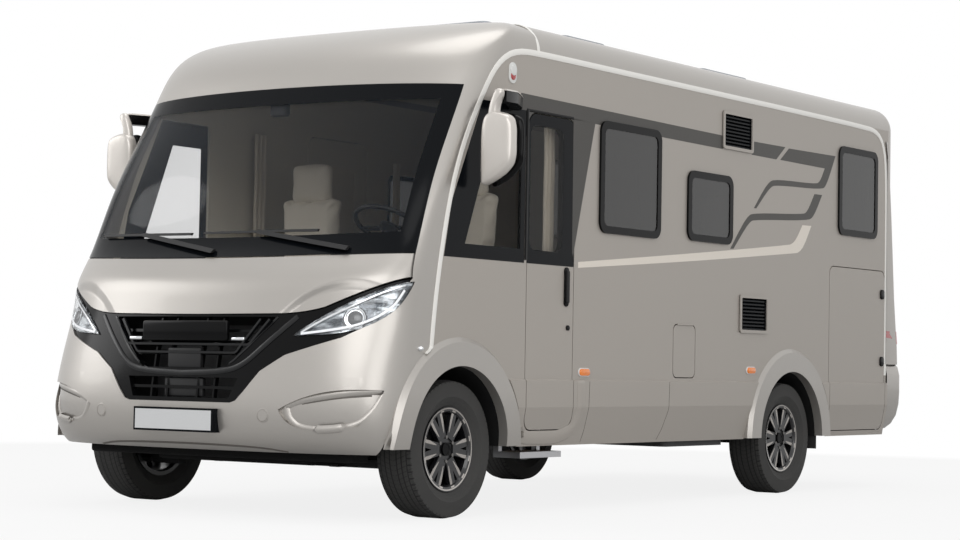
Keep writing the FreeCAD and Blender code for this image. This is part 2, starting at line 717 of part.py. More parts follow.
def build_roof():
    """Roof shell with rounded edges and three framed roof lights whose lids lift."""
    shell = cross_profile(0, CAP_SEAM_Y, REAR_SEAM_Y, WALL_TOP_Z - ROOF_EDGE_R)
    shell = shell.cut(cross_profile(WALL, CAP_SEAM_Y - OVERRUN, REAR_SEAM_Y + OVERRUN,
                                    WALL_TOP_Z - 2 * ROOF_EDGE_R))
    reach = HALF_WIDTH + OVERRUN
    shell = shell.cut(box(-reach, reach, FRONT_Y, REAR_Y, 0, WALL_TOP_Z))
    frames = []
    for name, rect in HATCHES.items():
        hole = hatch_box(rect, -HATCH_FRAME, 0, ROOF_Z + OVERRUN, HATCH_R - HATCH_FRAME)
        shell = shell.cut(hole)
        sill = ROOF_Z + HATCH_H / 3
        frame = hatch_box(rect, 0, ROOF_Z, sill, HATCH_R).cut(hole)
        frames.append(join([frame] + hatch_hinges(rect, sill)))
        lid = hatch_box(rect, HATCH_FRAME / 2, sill + SEAM, ROOF_Z + HATCH_H + HATCH_FRAME, HATCH_R)
        top = [e for e in lid.Edges if e.CenterOfMass.z > ROOF_Z + HATCH_H + HATCH_FRAME - TOUCH]
        lid = lid.makeFillet(HATCH_FRAME, top)
        room = hatch_box(rect, -HATCH_FRAME / 2, 0, ROOF_Z + HATCH_H, HATCH_R / 2)
        export("roof_light_lid_" + name, lid.cut(room))
    export("roof", shell)
    export("roof_light_frames", group(frames))


def rear_body(inset):
    """The rear end above the bumper with its rounded corners, drawn in by inset."""
    half, back, top = HALF_WIDTH - inset, REAR_WALL_Y - inset, ROOF_Z - inset
    slab = box(-half, half, REAR_SEAM_Y - REAR_CORNER_R, back, REAR_BUMPER_Z[1], top)
    low_z = REAR_BUMPER_Z[1]
    edges = [
        e for e in slab.Edges
        if abs(e.tangentAt(e.FirstParameter).y) > 0.5 and e.CenterOfMass.z > low_z + ROOF_EDGE_R
    ]
    slab = slab.makeFillet(ROOF_EDGE_R - inset, edges)
    rim = [
        e for e in slab.Edges
        if abs(e.CenterOfMass.y - back) < TOUCH and e.CenterOfMass.z > low_z + TOUCH
    ]
    return slab.makeFillet(REAR_CORNER_R - inset, rim)


def build_rear(side_panes):
    reach = HALF_WIDTH + OVERRUN
    outer, inner = rear_body(0), rear_body(WALL)
    ahead = box(-reach, reach, FRONT_Y, REAR_SEAM_Y, 0, ROOF_Z + OVERRUN)
    window = box(-REAR_WINDOW_X, REAR_WINDOW_X, REAR_SEAM_Y, REAR_Y, *REAR_WINDOW_Z)
    window = window.makeFillet(WINDOW_R,
                               [e for e in window.Edges if abs(e.tangentAt(e.FirstParameter).y) > 0.5])
    shell = cut(outer, inner, ahead)
    rear_pane = rear_body(WALL / 3).cut(rear_body(WALL / 3 + GLASS)).common(window)
    export("rear_wall", shell.cut(window))
    export("fixed_window_panes", group(side_panes + [rear_pane]))
    lamps = rear_body(-WINDOW_PROUD).cut(outer)
    room = box(HALF_WIDTH - TAIL_LAMP_W, reach, REAR_SEAM_Y + SEAM, REAR_Y, *TAIL_LAMP_Z)
    export("tail_lamps", group([lamps.common(room), lamps.common(mirror_x(room))]))
    low, high = REAR_BUMPER_Z
    wide = HALF_WIDTH + SKIRT_PROUD
    block = box(-wide, wide, REAR_SEAM_Y, REAR_Y, low, high)
    upright = [e for e in block.Edges if abs(e.tangentAt(e.FirstParameter).z) > 0.5]
    corners = [e for e in upright if e.CenterOfMass.y > REAR_WALL_Y]
    block = block.makeFillet(REAR_CORNER_R, corners)
    room = box(-wide + WALL, wide - WALL, REAR_SEAM_Y - OVERRUN, REAR_Y - WALL, low - OVERRUN, high - WALL)
    plate_y = REAR_Y - PLATE_T / 2
    plate = box(-PLATE_W / 2, PLATE_W / 2, plate_y, REAR_Y + TOUCH, PLATE_Z + PLATE_H / 2,
                PLATE_Z + PLATE_H * 1.5)
    export("rear_bumper", cut(block, room, plate))


# Floor, frame and wheel rooms

def wheel_rooms(grow):
    front = arch_well(FRONT_AXLE_Y, ARCH_R + grow, STEER_CLEAR_X - grow)
    rear = arch_well(REAR_AXLE_Y, ARCH_R + grow, REAR_LINER_X - grow)
    return front, rear


def build_floor():
    inner = HALF_WIDTH - WALL
    floor = box(-inner, inner, FIREWALL_Y, REAR_SEAM_Y, FLOOR_Z, FLOOR_Z + FLOOR_T)
    bulkhead = box(-inner, inner, FIREWALL_Y, FIREWALL_Y + WALL, FLOOR_Z + FLOOR_T, DASH_Z - OVERRUN)
    behind = box(-inner, inner, CAP_SEAM_Y, REAR_Y, 0, ROOF_Z)
    floor = floor.fuse(bulkhead).common(nose_solid(WALL + SEAM).fuse(behind))
    for room in wheel_rooms(LINER_T):
        floor = floor.cut(room)
    export("cabin_floor", floor)
    liners = []
    for y, grown, room in zip((FRONT_AXLE_Y, REAR_AXLE_Y), wheel_rooms(LINER_T), wheel_rooms(0)):
        shell = grown.cut(room)
        if y == REAR_AXLE_Y:
            shell = shell.cut(rod_x(-HALF_WIDTH, HALF_WIDTH, y, HUB_Z, UPRIGHT_W / 2 + SEAM))
        reach = HALF_WIDTH - FLARE_DEPTH - TOUCH
        shell = shell.common(box(-reach, reach, FRONT_Y, REAR_Y, SKIRT_BOTTOM_Z + SEAM, ROOF_Z))
        if y == FRONT_AXLE_Y:
            shell = shell.common(nose_solid(FLARE_DEPTH + TOUCH))
        liners.append(shell)
    export("wheel_arch_liners", group(liners))


def build_flares():
    """Bulged wheel arch trims: the front pair follows the nose, the rear pair the straight side."""
    band_in = HALF_WIDTH - FLARE_DEPTH
    band_out = HALF_WIDTH + FLARE_PROUD
    pieces = []
    for y, is_front in ((FRONT_AXLE_Y, True), (REAR_AXLE_Y, False)):
        ring = rod_x(0, HALF_WIDTH, y, HUB_Z, FLARE_R)
        ring = ring.fuse(Part.makeCone(FLARE_R, FLARE_R - 2 * FLARE_PROUD, 2 * FLARE_PROUD,
                                       V(HALF_WIDTH, y, HUB_Z), V(1, 0, 0)))
        ring = ring.removeSplitter().cut(rod_x(-OVERRUN, HALF_WIDTH + 3 * FLARE_PROUD, y, HUB_Z, ARCH_R))
        ring = ring.common(box(0, HALF_WIDTH + OVERRUN, FRONT_Y, REAR_Y, SKIRT_BOTTOM_Z + SEAM, ROOF_Z))
        if is_front:
            ring = ring.common(nose_solid(-FLARE_PROUD)).cut(nose_solid(FLARE_DEPTH))
            ring = max(ring.Solids, key=lambda solid: solid.Volume)
        else:
            ring = ring.common(box(band_in, band_out, FRONT_Y, REAR_Y, 0, ROOF_Z))
        pieces += [ring, mirror_x(ring)]
    export("wheel_arch_flares", group(pieces))


def build_frame():
    """Two channel rails joined by cross members, under the floor."""
    y0, y1 = axle(-FRONT_OVERHANG * RAIL_REACH_SHARE), REAR_SEAM_Y
    z0 = FLOOR_Z - RAIL_H
    pieces = []
    for sign in (-1, 1):
        rail = box(RAIL_X - RAIL_W / 2, RAIL_X + RAIL_W / 2, y0, y1, z0, FLOOR_Z)
        room = box(RAIL_X - RAIL_W, RAIL_X + RAIL_W / 2 - RAIL_WEB, y0 - OVERRUN, y1 + OVERRUN,
                   z0 + RAIL_WEB, FLOOR_Z - RAIL_WEB)
        rail = rail.cut(room)
        for dy in (-TOW_PITCH[0] / 2, TOW_PITCH[0] / 2):
            for dz in (-TOW_PITCH[1] / 2, TOW_PITCH[1] / 2):
                rail = rail.cut(rod_x(RAIL_X, RAIL_X + RAIL_W, y1 - TOW_BACK + dy, z0 + RAIL_H / 2 + dz,
                                      TOW_HOLE_R))
        pieces.append(rail if sign > 0 else mirror_x(rail))
    span = (y1 - y0 - CROSS_W) / 7
    for i in range(8):
        y = y0 + i * span
        pieces.append(box(-RAIL_X, RAIL_X, y, y + CROSS_W, z0 + RAIL_WEB, FLOOR_Z - RAIL_WEB))
    export("chassis_frame", join(pieces))
    x0, x1, ya, yb, za, zb = ENGINE
    export("engine_block", box(x0, x1, ya, yb, za, zb))
    tank_x = RAIL_X + RAIL_W / 2 + SEAM
    width = HALF_WIDTH - WALL - OVERRUN - tank_x
    tanks = []
    for sign, y in ((1, axle(TANK_Y)), (-1, axle(TANK_Y))):
        tank = rounded_z(tank_x, tank_x + width, y, y + 3 * MUDFLAP_H, FLAP_R, FLOOR_Z - TANK_H, FLOOR_Z)
        tanks.append(tank if sign > 0 else mirror_x(tank))
    export("tanks", group(tanks))


# Running gear

def hub_x(outer_x):
    return outer_x - TYRE_W / 2


def build_wheel(name, outer_x, y, sign):
    """Rim with six forked spokes and a tyre whose section has straight facets."""
    mid = hub_x(outer_x)
    half = TYRE_W / 2
    crown = TYRE_R - TREAD_CROWN
    section = [
        (mid - half * BEAD_SHARE, TYRE_BEAD_R), (mid - half, TYRE_R * 0.76), (mid - half * 0.93, crown),
        (mid - half * 0.6, TYRE_R),
        (mid + half * 0.6, TYRE_R), (mid + half * 0.93, crown), (mid + half, TYRE_R * 0.76),
        (mid + half * BEAD_SHARE, TYRE_BEAD_R),
    ]
    tyre = spin(section)
    lip_in, lip_out = mid - half * LIP_SHARE, mid + half * LIP_SHARE
    barrel = [
        (lip_in, RIM_LIP_R), (lip_in, TYRE_BEAD_R - RIM_WALL),
        (lip_in + 2 * RIM_LIP, TYRE_BEAD_R - 2 * RIM_WALL), (lip_out - 2 * RIM_LIP, TYRE_BEAD_R - 2 * RIM_WALL),
        (lip_out - RIM_LIP / 2, TYRE_BEAD_R - RIM_WALL),
        (lip_out, RIM_LIP_R), (lip_out - RIM_LIP, RIM_LIP_R),
        (lip_out - RIM_LIP, TYRE_BEAD_R - TOUCH), (lip_in + RIM_LIP, TYRE_BEAD_R - TOUCH),
        (lip_in + RIM_LIP, RIM_LIP_R),
    ]
    rim = spin(barrel)
    face = lip_out - RIM_INSET
    spokes = [spin([(face - 2 * SPOKE_T, HUB_BORE_R), (face - 2 * SPOKE_T, HUB_R),
                    (face - SPOKE_T / 3, HUB_R), (face - SPOKE_T / 3, HUB_BORE_R)])]
    tip_r = TYRE_BEAD_R - RIM_WALL
    fork_r = HUB_R + (tip_r - HUB_R) * SPOKE_FORK_SHARE
    for i in range(SPOKES):
        root, tip = SPOKE_ROOT_W / 2, SPOKE_TIP_W / 2
        outline = [(-root, HUB_R * 0.8), (root, HUB_R * 0.8), (tip, tip_r), (-tip, tip_r)]
        fork = [(0, fork_r), (SPOKE_FORK_W / 2, tip_r + OVERRUN), (-SPOKE_FORK_W / 2, tip_r + OVERRUN)]
        spoke = prism_x(outline, face - SPOKE_T, face)
        spoke = spoke.cut(prism_x(fork, face - 2 * SPOKE_T, face + SPOKE_T))
        spoke = spoke.common(rod_x(face - 2 * SPOKE_T, face + SPOKE_T, 0, 0, tip_r))
        spoke.rotate(V(0, 0, 0), V(1, 0, 0), (i + 0.5) * 360 / SPOKES)
        spokes.append(spoke)
    rim = join([rim] + spokes)
    for part_name, shape in (("tyre_" + name, tyre), ("rim_" + name, rim)):
        shape = shape.copy()
        shape.translate(V(0, y, HUB_Z))
        export(part_name, shape if sign > 0 else mirror_x(shape))


def spin(section):
    """An (x, radius) outline turned about the X axis."""
    wire = Part.makePolygon([V(x, 0, r) for x, r in section] + [V(section[0][0], 0, section[0][1])])
    return Part.Face(wire).revolve(V(0, 0, 0), V(1, 0, 0), 360)


def build_running_gear():
    for side, sign in SIDES:
        build_wheel("front_" + side, FRONT_TYRE_X, FRONT_AXLE_Y, sign)
        build_wheel("rear_" + side, REAR_TYRE_X, REAR_AXLE_Y, sign)
        y = FRONT_AXLE_Y
        face = hub_x(FRONT_TYRE_X) + TYRE_W / 2 * LIP_SHARE - RIM_INSET
        spindle = rod_x(KINGPIN_X - DISC_T, face - SPOKE_T / 2, y, HUB_Z, HUB_BORE_R - TOUCH)
        disc = rod_x(face - 2 * SPOKE_T - DISC_T - TOUCH, face - 2 * SPOKE_T - TOUCH, y, HUB_Z, DISC_R)
        upright = box(KINGPIN_X - UPRIGHT_W / 2, KINGPIN_X + UPRIGHT_W / 2, y - UPRIGHT_W / 2,
                      y + UPRIGHT_W / 2, HUB_Z - UPRIGHT_H, HUB_Z + UPRIGHT_H)
        arm = box(KINGPIN_X - UPRIGHT_W * 1.5, KINGPIN_X, y, y + STEER_ARM, HUB_Z - UPRIGHT_W / 4, HUB_Z)
        arm = arm.common(box(KINGPIN_X - UPRIGHT_W / 2, KINGPIN_X + UPRIGHT_W / 2, y, y + STEER_ARM, 0,
                             ROOF_Z))
        knuckle = join([spindle, disc, upright, arm])
        export("steering_knuckle_" + side, knuckle if sign > 0 else mirror_x(knuckle))
    y = FRONT_AXLE_Y
    reach = KINGPIN_X - UPRIGHT_W * SWING_SHARE - SEAM
    beam = box(-reach, reach, y - UPRIGHT_W / 2, y + UPRIGHT_W / 2, HUB_Z - UPRIGHT_H,
               HUB_Z - UPRIGHT_H + UPRIGHT_W / 2)
    pads = [box(x - RAIL_W / 2, x + RAIL_W / 2, y - UPRIGHT_W, y + UPRIGHT_W, HUB_Z - UPRIGHT_H,
                FLOOR_Z - RAIL_H) for x in (-RAIL_X, RAIL_X)]
    eyes = []
    for sign in (-1, 1):
        for z in (HUB_Z - UPRIGHT_H - UPRIGHT_W / 3, HUB_Z + UPRIGHT_H):
            eye = box(reach - UPRIGHT_W, KINGPIN_X + UPRIGHT_W / 3, y - UPRIGHT_W / 3, y + UPRIGHT_W / 3,
                      z, z + UPRIGHT_W / 3)
            eyes.append(eye if sign > 0 else mirror_x(eye))
        post = box(reach - UPRIGHT_W, reach, y - UPRIGHT_W / 3, y + UPRIGHT_W / 3,
                   HUB_Z - UPRIGHT_H - UPRIGHT_W / 3, HUB_Z + UPRIGHT_H + UPRIGHT_W / 3)
        eyes.append(post if sign > 0 else mirror_x(post))
    export("front_axle", join([beam] + pads + eyes))
    y = REAR_AXLE_Y
    face = hub_x(REAR_TYRE_X) + TYRE_W / 2 * LIP_SHARE - RIM_INSET
    reach = face - 2 * SPOKE_T - TOUCH
    tube = rod_x(-reach, reach, y, HUB_Z, UPRIGHT_W / 2)
    pieces = [tube]
    for sign in (-1, 1):
        pieces.append(rod_x(*sorted((sign * (reach - DISC_T), sign * reach)), y, HUB_Z, DISC_R))
        pieces.append(rod_x(*sorted((sign * (reach - DISC_T), sign * (face - SPOKE_T / 2))), y, HUB_Z,
                            HUB_BORE_R - TOUCH))
        x = sign * RAIL_X
        spring = box(x - RAIL_W / 2, x + RAIL_W / 2, y - SPRING_HALF, y + SPRING_HALF,
                     FLOOR_Z - RAIL_H - SPRING_T, FLOOR_Z - RAIL_H)
        pieces.append(spring)
    export("rear_axle", join(pieces))


# Fittings

def build_mirror(sign):
    """A housing that hangs from a neck, the neck's arm to the body, and the glass on the housing's back."""
    x0, x1 = MIRROR_X
    z0, z1 = MIRROR_Z
    y = axle(MIRROR_Y)
    half = MIRROR_T / 2
    lean = MIRROR_ARM_T / 2
    neck = x0 + MIRROR_NECK_W
    top = MIRROR_ARM_Z + MIRROR_ARM_T / 2
    outline = [
        (x0, z0), (x1 - lean, z0 + MIRROR_RAKE), (x1, z0 + MIRROR_RAKE + lean), (x1, z1 - lean),
        (x1 - lean, z1),
        (neck, z1 + MIRROR_SHOULDER), (neck, top), (x0 + lean, top), (x0, z1 + MIRROR_SHOULDER),
    ]
    housing = prism_y(outline, y - half, y + half)
    front = [e for e in housing.Edges if e.BoundBox.YMax < y]
    housing = housing.makeFillet(MIRROR_EDGE_R, front)
    wall = HALF_WIDTH + TOUCH
    foot = axle(MIRROR_ARM_Y)
    path = [(wall, foot), (neck, y + half), (neck, y), (x0 + lean, y), (x0 + lean, y + lean),
            (wall, foot - 2 * MIRROR_ARM_T)]
    arm = prism_z(path, top - MIRROR_ARM_T, top)
    rim = MIRROR_RIM
    pane = [(x0 + rim, z0 + 2 * rim), (x1 - rim, z0 + MIRROR_RAKE + 2 * rim), (x1 - rim, z1 - 2 * rim),
            (x0 + rim, z1)]
    glass = prism_y(pane, y + half, y + half + GLASS)
    shell = join([housing, arm])
    return (shell, glass) if sign > 0 else (mirror_x(shell), mirror_x(glass))


def blade(foot, tip, width, inset0, inset1):
    """A strip along a straight line seen from the front, lying on the glass."""
    (xa, za), (xb, zb) = foot, tip
    length = math.hypot(xb - xa, zb - za)
    nx, nz = -(zb - za) / length * width / 2, (xb - xa) / length * width / 2
    strip = prism_y([(xa + nx, za + nz), (xb + nx, zb + nz), (xb - nx, zb - nz), (xa - nx, za - nz)],
                    *NOSE_Y)
    return both_sides(skin(strip.fuse(mirror_x(strip)), -inset1, -inset0)).common(strip)


def build_fittings():
    mirrors = [build_mirror(sign) for side, sign in SIDES]
    export("mirrors", group([m[0] for m in mirrors]))
    export("mirror_glasses", group([m[1] for m in mirrors]))
    wipers = []
    for (pivot, low, high) in WIPERS:
        at = (low[0] * 0.5 + high[0] * 0.5, low[1] * 0.5 + high[1] * 0.5)
        rubber = blade(low, high, WIPER_W, TOUCH, WIPER_W)
        arm = blade(pivot, at, WIPER_W * ARM_WIDTH_SHARE, WIPER_W / 2, WIPER_W * ARM_RISE_SHARE)
        wipers.append(join([rubber, arm]))
    export("wipers", group(wipers))
    y0, y1, z = STEP
    steps = []
    for sign in (-1, 1):
        low_x = HALF_WIDTH - STEP_DEPTH - WALL
        tread = box(low_x, HALF_WIDTH - WALL, axle(y0), axle(y1), z, z + STEP_T)
        post = box(low_x, low_x + STEP_T, axle(y0), axle(y0) + STEP_T, z, FLOOR_Z)
        post2 = box(low_x, low_x + STEP_T, axle(y1) - STEP_T, axle(y1), z, FLOOR_Z)
        step = join([tread, post, post2])
        steps.append(step if sign > 0 else mirror_x(step))
    steps[0].translate(V(0, ENTRY_DOOR[0] - STEP[0], 0))
    export("entry_steps", group(steps))
    flap_y = REAR_AXLE_Y + MUDFLAP_Y
    flaps = []
    for sign in (-1, 1):
        x = HALF_WIDTH - WALL - MUDFLAP_W
        low = SKIRT_BOTTOM_Z - MUDFLAP_H / 3
        flap = box(x, x + MUDFLAP_W, flap_y, flap_y + MUDFLAP_T, low, FLOOR_Z)
        flaps.append(flap if sign > 0 else mirror_x(flap))
    export("mudflaps", group(flaps))
    front = box(-PLATE_W / 2, PLATE_W / 2, FRONT_Y, FRONT_Y + 4 * PLATE_T, PLATE_Z - PLATE_H / 2,
                PLATE_Z + PLATE_H / 2)
    front = front.cut(nose_solid(-TOUCH))
    low = PLATE_Z + PLATE_H / 2
    rear = box(-PLATE_W / 2, PLATE_W / 2, REAR_Y - PLATE_T / 2, REAR_Y, low, low + PLATE_H)
    export("number_plates", group([front, rear]))


# Cab

def build_cab():
    """Two cab seats, the dashboard under the windshield and the steering wheel."""
    seats = []
    for sign in (-1, 1):
        x, y = sign * SEAT_X, axle(SEAT_Y)
        w = SEAT_W / 2
        plinth = box(x - w * 0.6, x + w * 0.6, y - w * 0.7, y + w * 0.7, FLOOR_Z + FLOOR_T,
                     SEAT_Z - SEAT_PAD)
        pad = rounded_z(x - w, x + w, y - w, y + w, w * 0.3, SEAT_Z - SEAT_PAD, SEAT_Z + SEAT_PAD / 2)
        back = rounded_z(x - w, x + w, y + w * 0.6, y + w * 1.1, w * 0.2, SEAT_Z, SEAT_BACK_Z)
        head = rounded_z(x - w * 0.5, x + w * 0.5, y + w * 0.65, y + w * 1.05, w * 0.15,
                         SEAT_BACK_Z - TOUCH, SEAT_BACK_Z + SEAT_PAD * 1.5)
        seats.append(join([plinth, pad, back, head]))
    export("cab_seats", group(seats))
    inner = HALF_WIDTH - WALL
    front = FIREWALL_Y + WALL
    section = [
        (front, DASH_Z - OVERRUN), (axle(DASH_BACK - DASH_LIP), DASH_Z),
        (axle(DASH_BACK), DASH_Z - DASH_LIP),
        (axle(DASH_BACK - DASH_LIP), DASH_Z - DASH_DEPTH), (front, DASH_Z - DASH_DEPTH),
    ]
    dash = prism_x(section, -inner, inner).common(nose_solid(WALL + SEAM))
    wheel = Part.makeTorus(STEER_R, STEER_TUBE_R)
    hub = Part.makeCylinder(STEER_R / 3, 2 * STEER_TUBE_R, V(0, 0, -STEER_TUBE_R * 2))
    pieces = [wheel, hub, Part.makeCylinder(STEER_TUBE_R * 1.5, STEER_COLUMN, V(0, 0, -STEER_COLUMN))]
    for turn in (0, 135, 225):
        spoke = box(0, STEER_R, -STEER_TUBE_R, STEER_TUBE_R, -STEER_TUBE_R, 0)
        spoke.rotate(V(0, 0, 0), V(0, 0, 1), turn + 90)
        pieces.append(spoke)
    steering = join(pieces)
    steering.rotate(V(0, 0, 0), V(1, 0, 0), -STEER_TILT)
    steering.translate(V(SEAT_X, axle(STEER_Y), STEER_Z))
    dash = dash.cut(steering)
    export("dashboard", dash)
    export("steering_wheel", steering)


def main():
    os.makedirs("parts", exist_ok=True)
    build_front_end()
    side_panes = build_sides()
    build_roof()
    build_rear(side_panes)
    build_floor()
    build_flares()
    build_frame()
    build_running_gear()
    build_fittings()
    build_cab()


main()
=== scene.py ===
# %% [markdown]
# # An integrated motorhome, dressed for its portrait
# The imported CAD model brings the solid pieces: walls, doors, glass, wheels and frame, each as its own
# object with its place in its vertices. This script gives every piece its finish and adds what is too
# small or too soft for CAD.

# %% Load the frame
import json
import math

import bmesh
import bpy
import numpy as np
from mathutils import Matrix, Vector
from mathutils.bvhtree import BVHTree

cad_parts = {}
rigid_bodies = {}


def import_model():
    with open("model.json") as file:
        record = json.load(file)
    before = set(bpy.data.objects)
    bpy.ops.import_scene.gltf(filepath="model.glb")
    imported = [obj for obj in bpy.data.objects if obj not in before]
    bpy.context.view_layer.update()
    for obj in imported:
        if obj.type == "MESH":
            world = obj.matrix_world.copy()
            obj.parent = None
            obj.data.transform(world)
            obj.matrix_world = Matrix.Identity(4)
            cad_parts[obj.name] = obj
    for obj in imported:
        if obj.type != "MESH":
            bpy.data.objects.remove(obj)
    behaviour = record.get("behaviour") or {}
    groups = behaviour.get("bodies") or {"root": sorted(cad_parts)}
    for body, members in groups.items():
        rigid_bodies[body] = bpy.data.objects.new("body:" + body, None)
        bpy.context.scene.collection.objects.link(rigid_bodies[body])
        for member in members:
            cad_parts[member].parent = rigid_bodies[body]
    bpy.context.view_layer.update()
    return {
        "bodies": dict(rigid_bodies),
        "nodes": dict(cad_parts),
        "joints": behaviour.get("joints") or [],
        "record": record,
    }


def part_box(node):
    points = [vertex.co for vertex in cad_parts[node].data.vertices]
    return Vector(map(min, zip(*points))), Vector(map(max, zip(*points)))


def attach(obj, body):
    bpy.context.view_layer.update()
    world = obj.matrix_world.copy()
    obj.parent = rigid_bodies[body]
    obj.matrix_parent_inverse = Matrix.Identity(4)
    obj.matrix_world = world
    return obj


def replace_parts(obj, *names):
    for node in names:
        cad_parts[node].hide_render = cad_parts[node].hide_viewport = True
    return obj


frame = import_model()
nodes = frame["nodes"]

# %% [markdown]
# ## Where things are
# The vehicle stands on z = 0 with its nose towards -Y, and +X is the driver's side. A handful of
# named places, in metres, are all that the details need, because a piece is modelled where it
# belongs. What is on both sides is made by one loop over SIDES, and what is at both axles by one over
# AXLES.

# %% Named places
HALF_WIDTH = 1.190
FRONT_AXLE_Y = -2.360
REAR_AXLE_Y = 1.490
HUB_Z = 0.368
TYRE_R = 0.370
TYRE_W = 0.235
FRONT_TYRE_X = 1.150
REAR_TYRE_X = 1.154
BELT_Z = 1.393
VINYL = 0.0006
SIDES = ((1, "left"), (-1, "right"))
AXLES = (("front", FRONT_AXLE_Y, FRONT_TYRE_X), ("rear", REAR_AXLE_Y, REAR_TYRE_X))
TURN = 2 * math.pi
print("wheelbase", round(REAR_AXLE_Y - FRONT_AXLE_Y, 3))

# %% [markdown]
# ## Shader maths as plain Python
# A finish is easier to read as an expression than as a list of node links. The class below wraps one
# output socket, and its operators add Math nodes. Colours go through Mix nodes, since Math would grey
# them.

# %% Socket values
class Value:
    """One output socket that can be used in an expression."""

    def __init__(self, finish, socket):
        self.finish, self.socket = finish, socket

    def math(self, operation, *others):
        return self.finish.node("ShaderNodeMath", {"operation": operation}, self, *others)

    def __add__(self, other):
        return self.math("ADD", other)

    def __radd__(self, other):
        return self.math("ADD", other)

    def __sub__(self, other):
        return self.math("SUBTRACT", other)

    def __rsub__(self, other):
        return (self * -1).math("ADD", other)

    def __mul__(self, other):
        return self.math("MULTIPLY", other)

    def __rmul__(self, other):
        return self.math("MULTIPLY", other)

    def __truediv__(self, other):
        return self.math("DIVIDE", other)

    def __gt__(self, other):
        return self.math("GREATER_THAN", other)

    def __lt__(self, other):
        return self.math("LESS_THAN", other)

    def abs(self):
        return self.math("ABSOLUTE")

    def least(self, other):
        return self.math("MINIMUM", other)

    def most(self, other):
        return self.math("MAXIMUM", other)


print("sockets can be added, multiplied and compared")

# %% [markdown]
# A finish is one material round a Principled shader. One method adds any node with its settings and
# the values of its sockets, and the rest are short names for the few patterns that this object needs.
# Places come from Object coordinates, which for every piece here are the vehicle's own metres.

# %% Finishes
NORMAL_OUT, OBJECT_OUT = 1, 3
SHADER_COLOURS = 2


class Finish:
    """A material whose nodes are added by one method."""

    def __init__(self, name):
        self.material = bpy.data.materials.new(name)
        self.material.use_nodes = True
        self.tree = self.material.node_tree
        self.shader = next(n for n in self.tree.nodes if n.type == "BSDF_PRINCIPLED")
        self.output = next(n for n in self.tree.nodes if n.type == "OUTPUT_MATERIAL")

    def node(self, kind, settings, *values, out=0, **named):
        made = self.tree.nodes.new(kind)
        for name, setting in settings.items():
            if name == "stops":
                for stop, (place, colour) in zip(made.color_ramp.elements, setting):
                    stop.position, stop.color = place, colour
            else:
                setattr(made, name, setting)
        for key, value in [*enumerate(values), *named.items()]:
            key = key if isinstance(key, int) else key.replace("_", " ")
            self.plug(made.inputs[key], value)
        return Value(self, made.outputs[out])

    def plug(self, socket, value):
        if isinstance(value, Value):
            self.tree.links.new(value.socket, socket)
        else:
            socket.default_value = value

    def set(self, **values):
        for key, value in values.items():
            self.plug(self.shader.inputs[key.replace("_", " ")], value)
        return self

    def parts(self, output):
        """The three parts of one output of Texture Coordinate."""
        where = self.node("ShaderNodeTexCoord", {}, out=output)
        split = self.tree.nodes.new("ShaderNodeSeparateXYZ")
        self.plug(split.inputs[0], where)
        return [Value(self, part) for part in split.outputs]

    def place(self):
        """x, y and z of the surface in the vehicle's own frame."""
        return self.parts(OBJECT_OUT)

    def facing(self):
        """How far the surface looks along x, y and z, each from -1 to 1."""
        return self.parts(NORMAL_OUT)

    def noise(self, scale, detail=3.0, rough=0.55, stretch=None):
        where = self.node("ShaderNodeTexCoord", {}, out=OBJECT_OUT)
        if stretch:
            where = self.node("ShaderNodeMapping", {}, where, Scale=stretch)
        return self.node("ShaderNodeTexNoise", {}, Vector=where, Scale=scale, Detail=detail,
                         Roughness=rough)

    def blend(self, mask, a, b):
        """Colour a where the mask is 0 and colour b where it is 1."""
        made = self.tree.nodes.new("ShaderNodeMix")
        made.data_type = "RGBA"
        for index, value in ((0, mask), (6, a), (7, b)):
            self.plug(made.inputs[index], value)
        return Value(self, made.outputs[SHADER_COLOURS])

    def between(self, mask, a, b):
        """Number a where the mask is 0 and number b where it is 1."""
        return self.node("ShaderNodeMapRange", {}, mask, 0.0, 1.0, a, b)

    def bump(self, height, strength, distance):
        return self.node("ShaderNodeBump", {}, Height=height, Strength=strength, Distance=distance)

    def mix_shader(self, mask, other):
        """Lays a second finish's shader over the first where the mask is 1."""
        made = self.tree.nodes.new("ShaderNodeMixShader")
        self.plug(made.inputs[0], mask)
        self.tree.links.new(self.shader.outputs[0], made.inputs[1])
        self.tree.links.new(other.outputs[0], made.inputs[2])
        self.tree.links.new(made.outputs[0], self.output.inputs[0])


def dress(finish, *names):
    """Gives CAD nodes their finish."""
    for name in names:
        for slot in nodes[name].material_slots:
            slot.material = finish.material


def srgb(r, g, b):
    """A colour read as 0 to 255 screen values, made linear."""
    line = [c / 255 for c in (r, g, b)]
    return tuple(c / 12.92 if c <= 0.04045 else ((c + 0.055) / 1.055) ** 2.4 for c in line) + (1.0,)


print("finishes ready")

# %% [markdown]
# ## Paint
# The coach wears a champagne metallic. The moulded nose, arches and bumpers are pearly and glossy,
# while the flat aluminium walls look calmer and greyer. Both get fine metal flake from a small noise,
# a very faint orange peel in the bump, and a clear coat. One function makes both, so they stay a
# family.

# %% Paint recipe
MOULDED_SHELL = {"colour": srgb(170, 166, 161), "roughness": 0.36, "metallic": 0.70, "coat": 0.25,
                 "flake": 0.08}
FLAT_PANEL = {"colour": srgb(162, 156, 149), "roughness": 0.45, "metallic": 0.30, "coat": 0.15,
              "flake": 0.04}


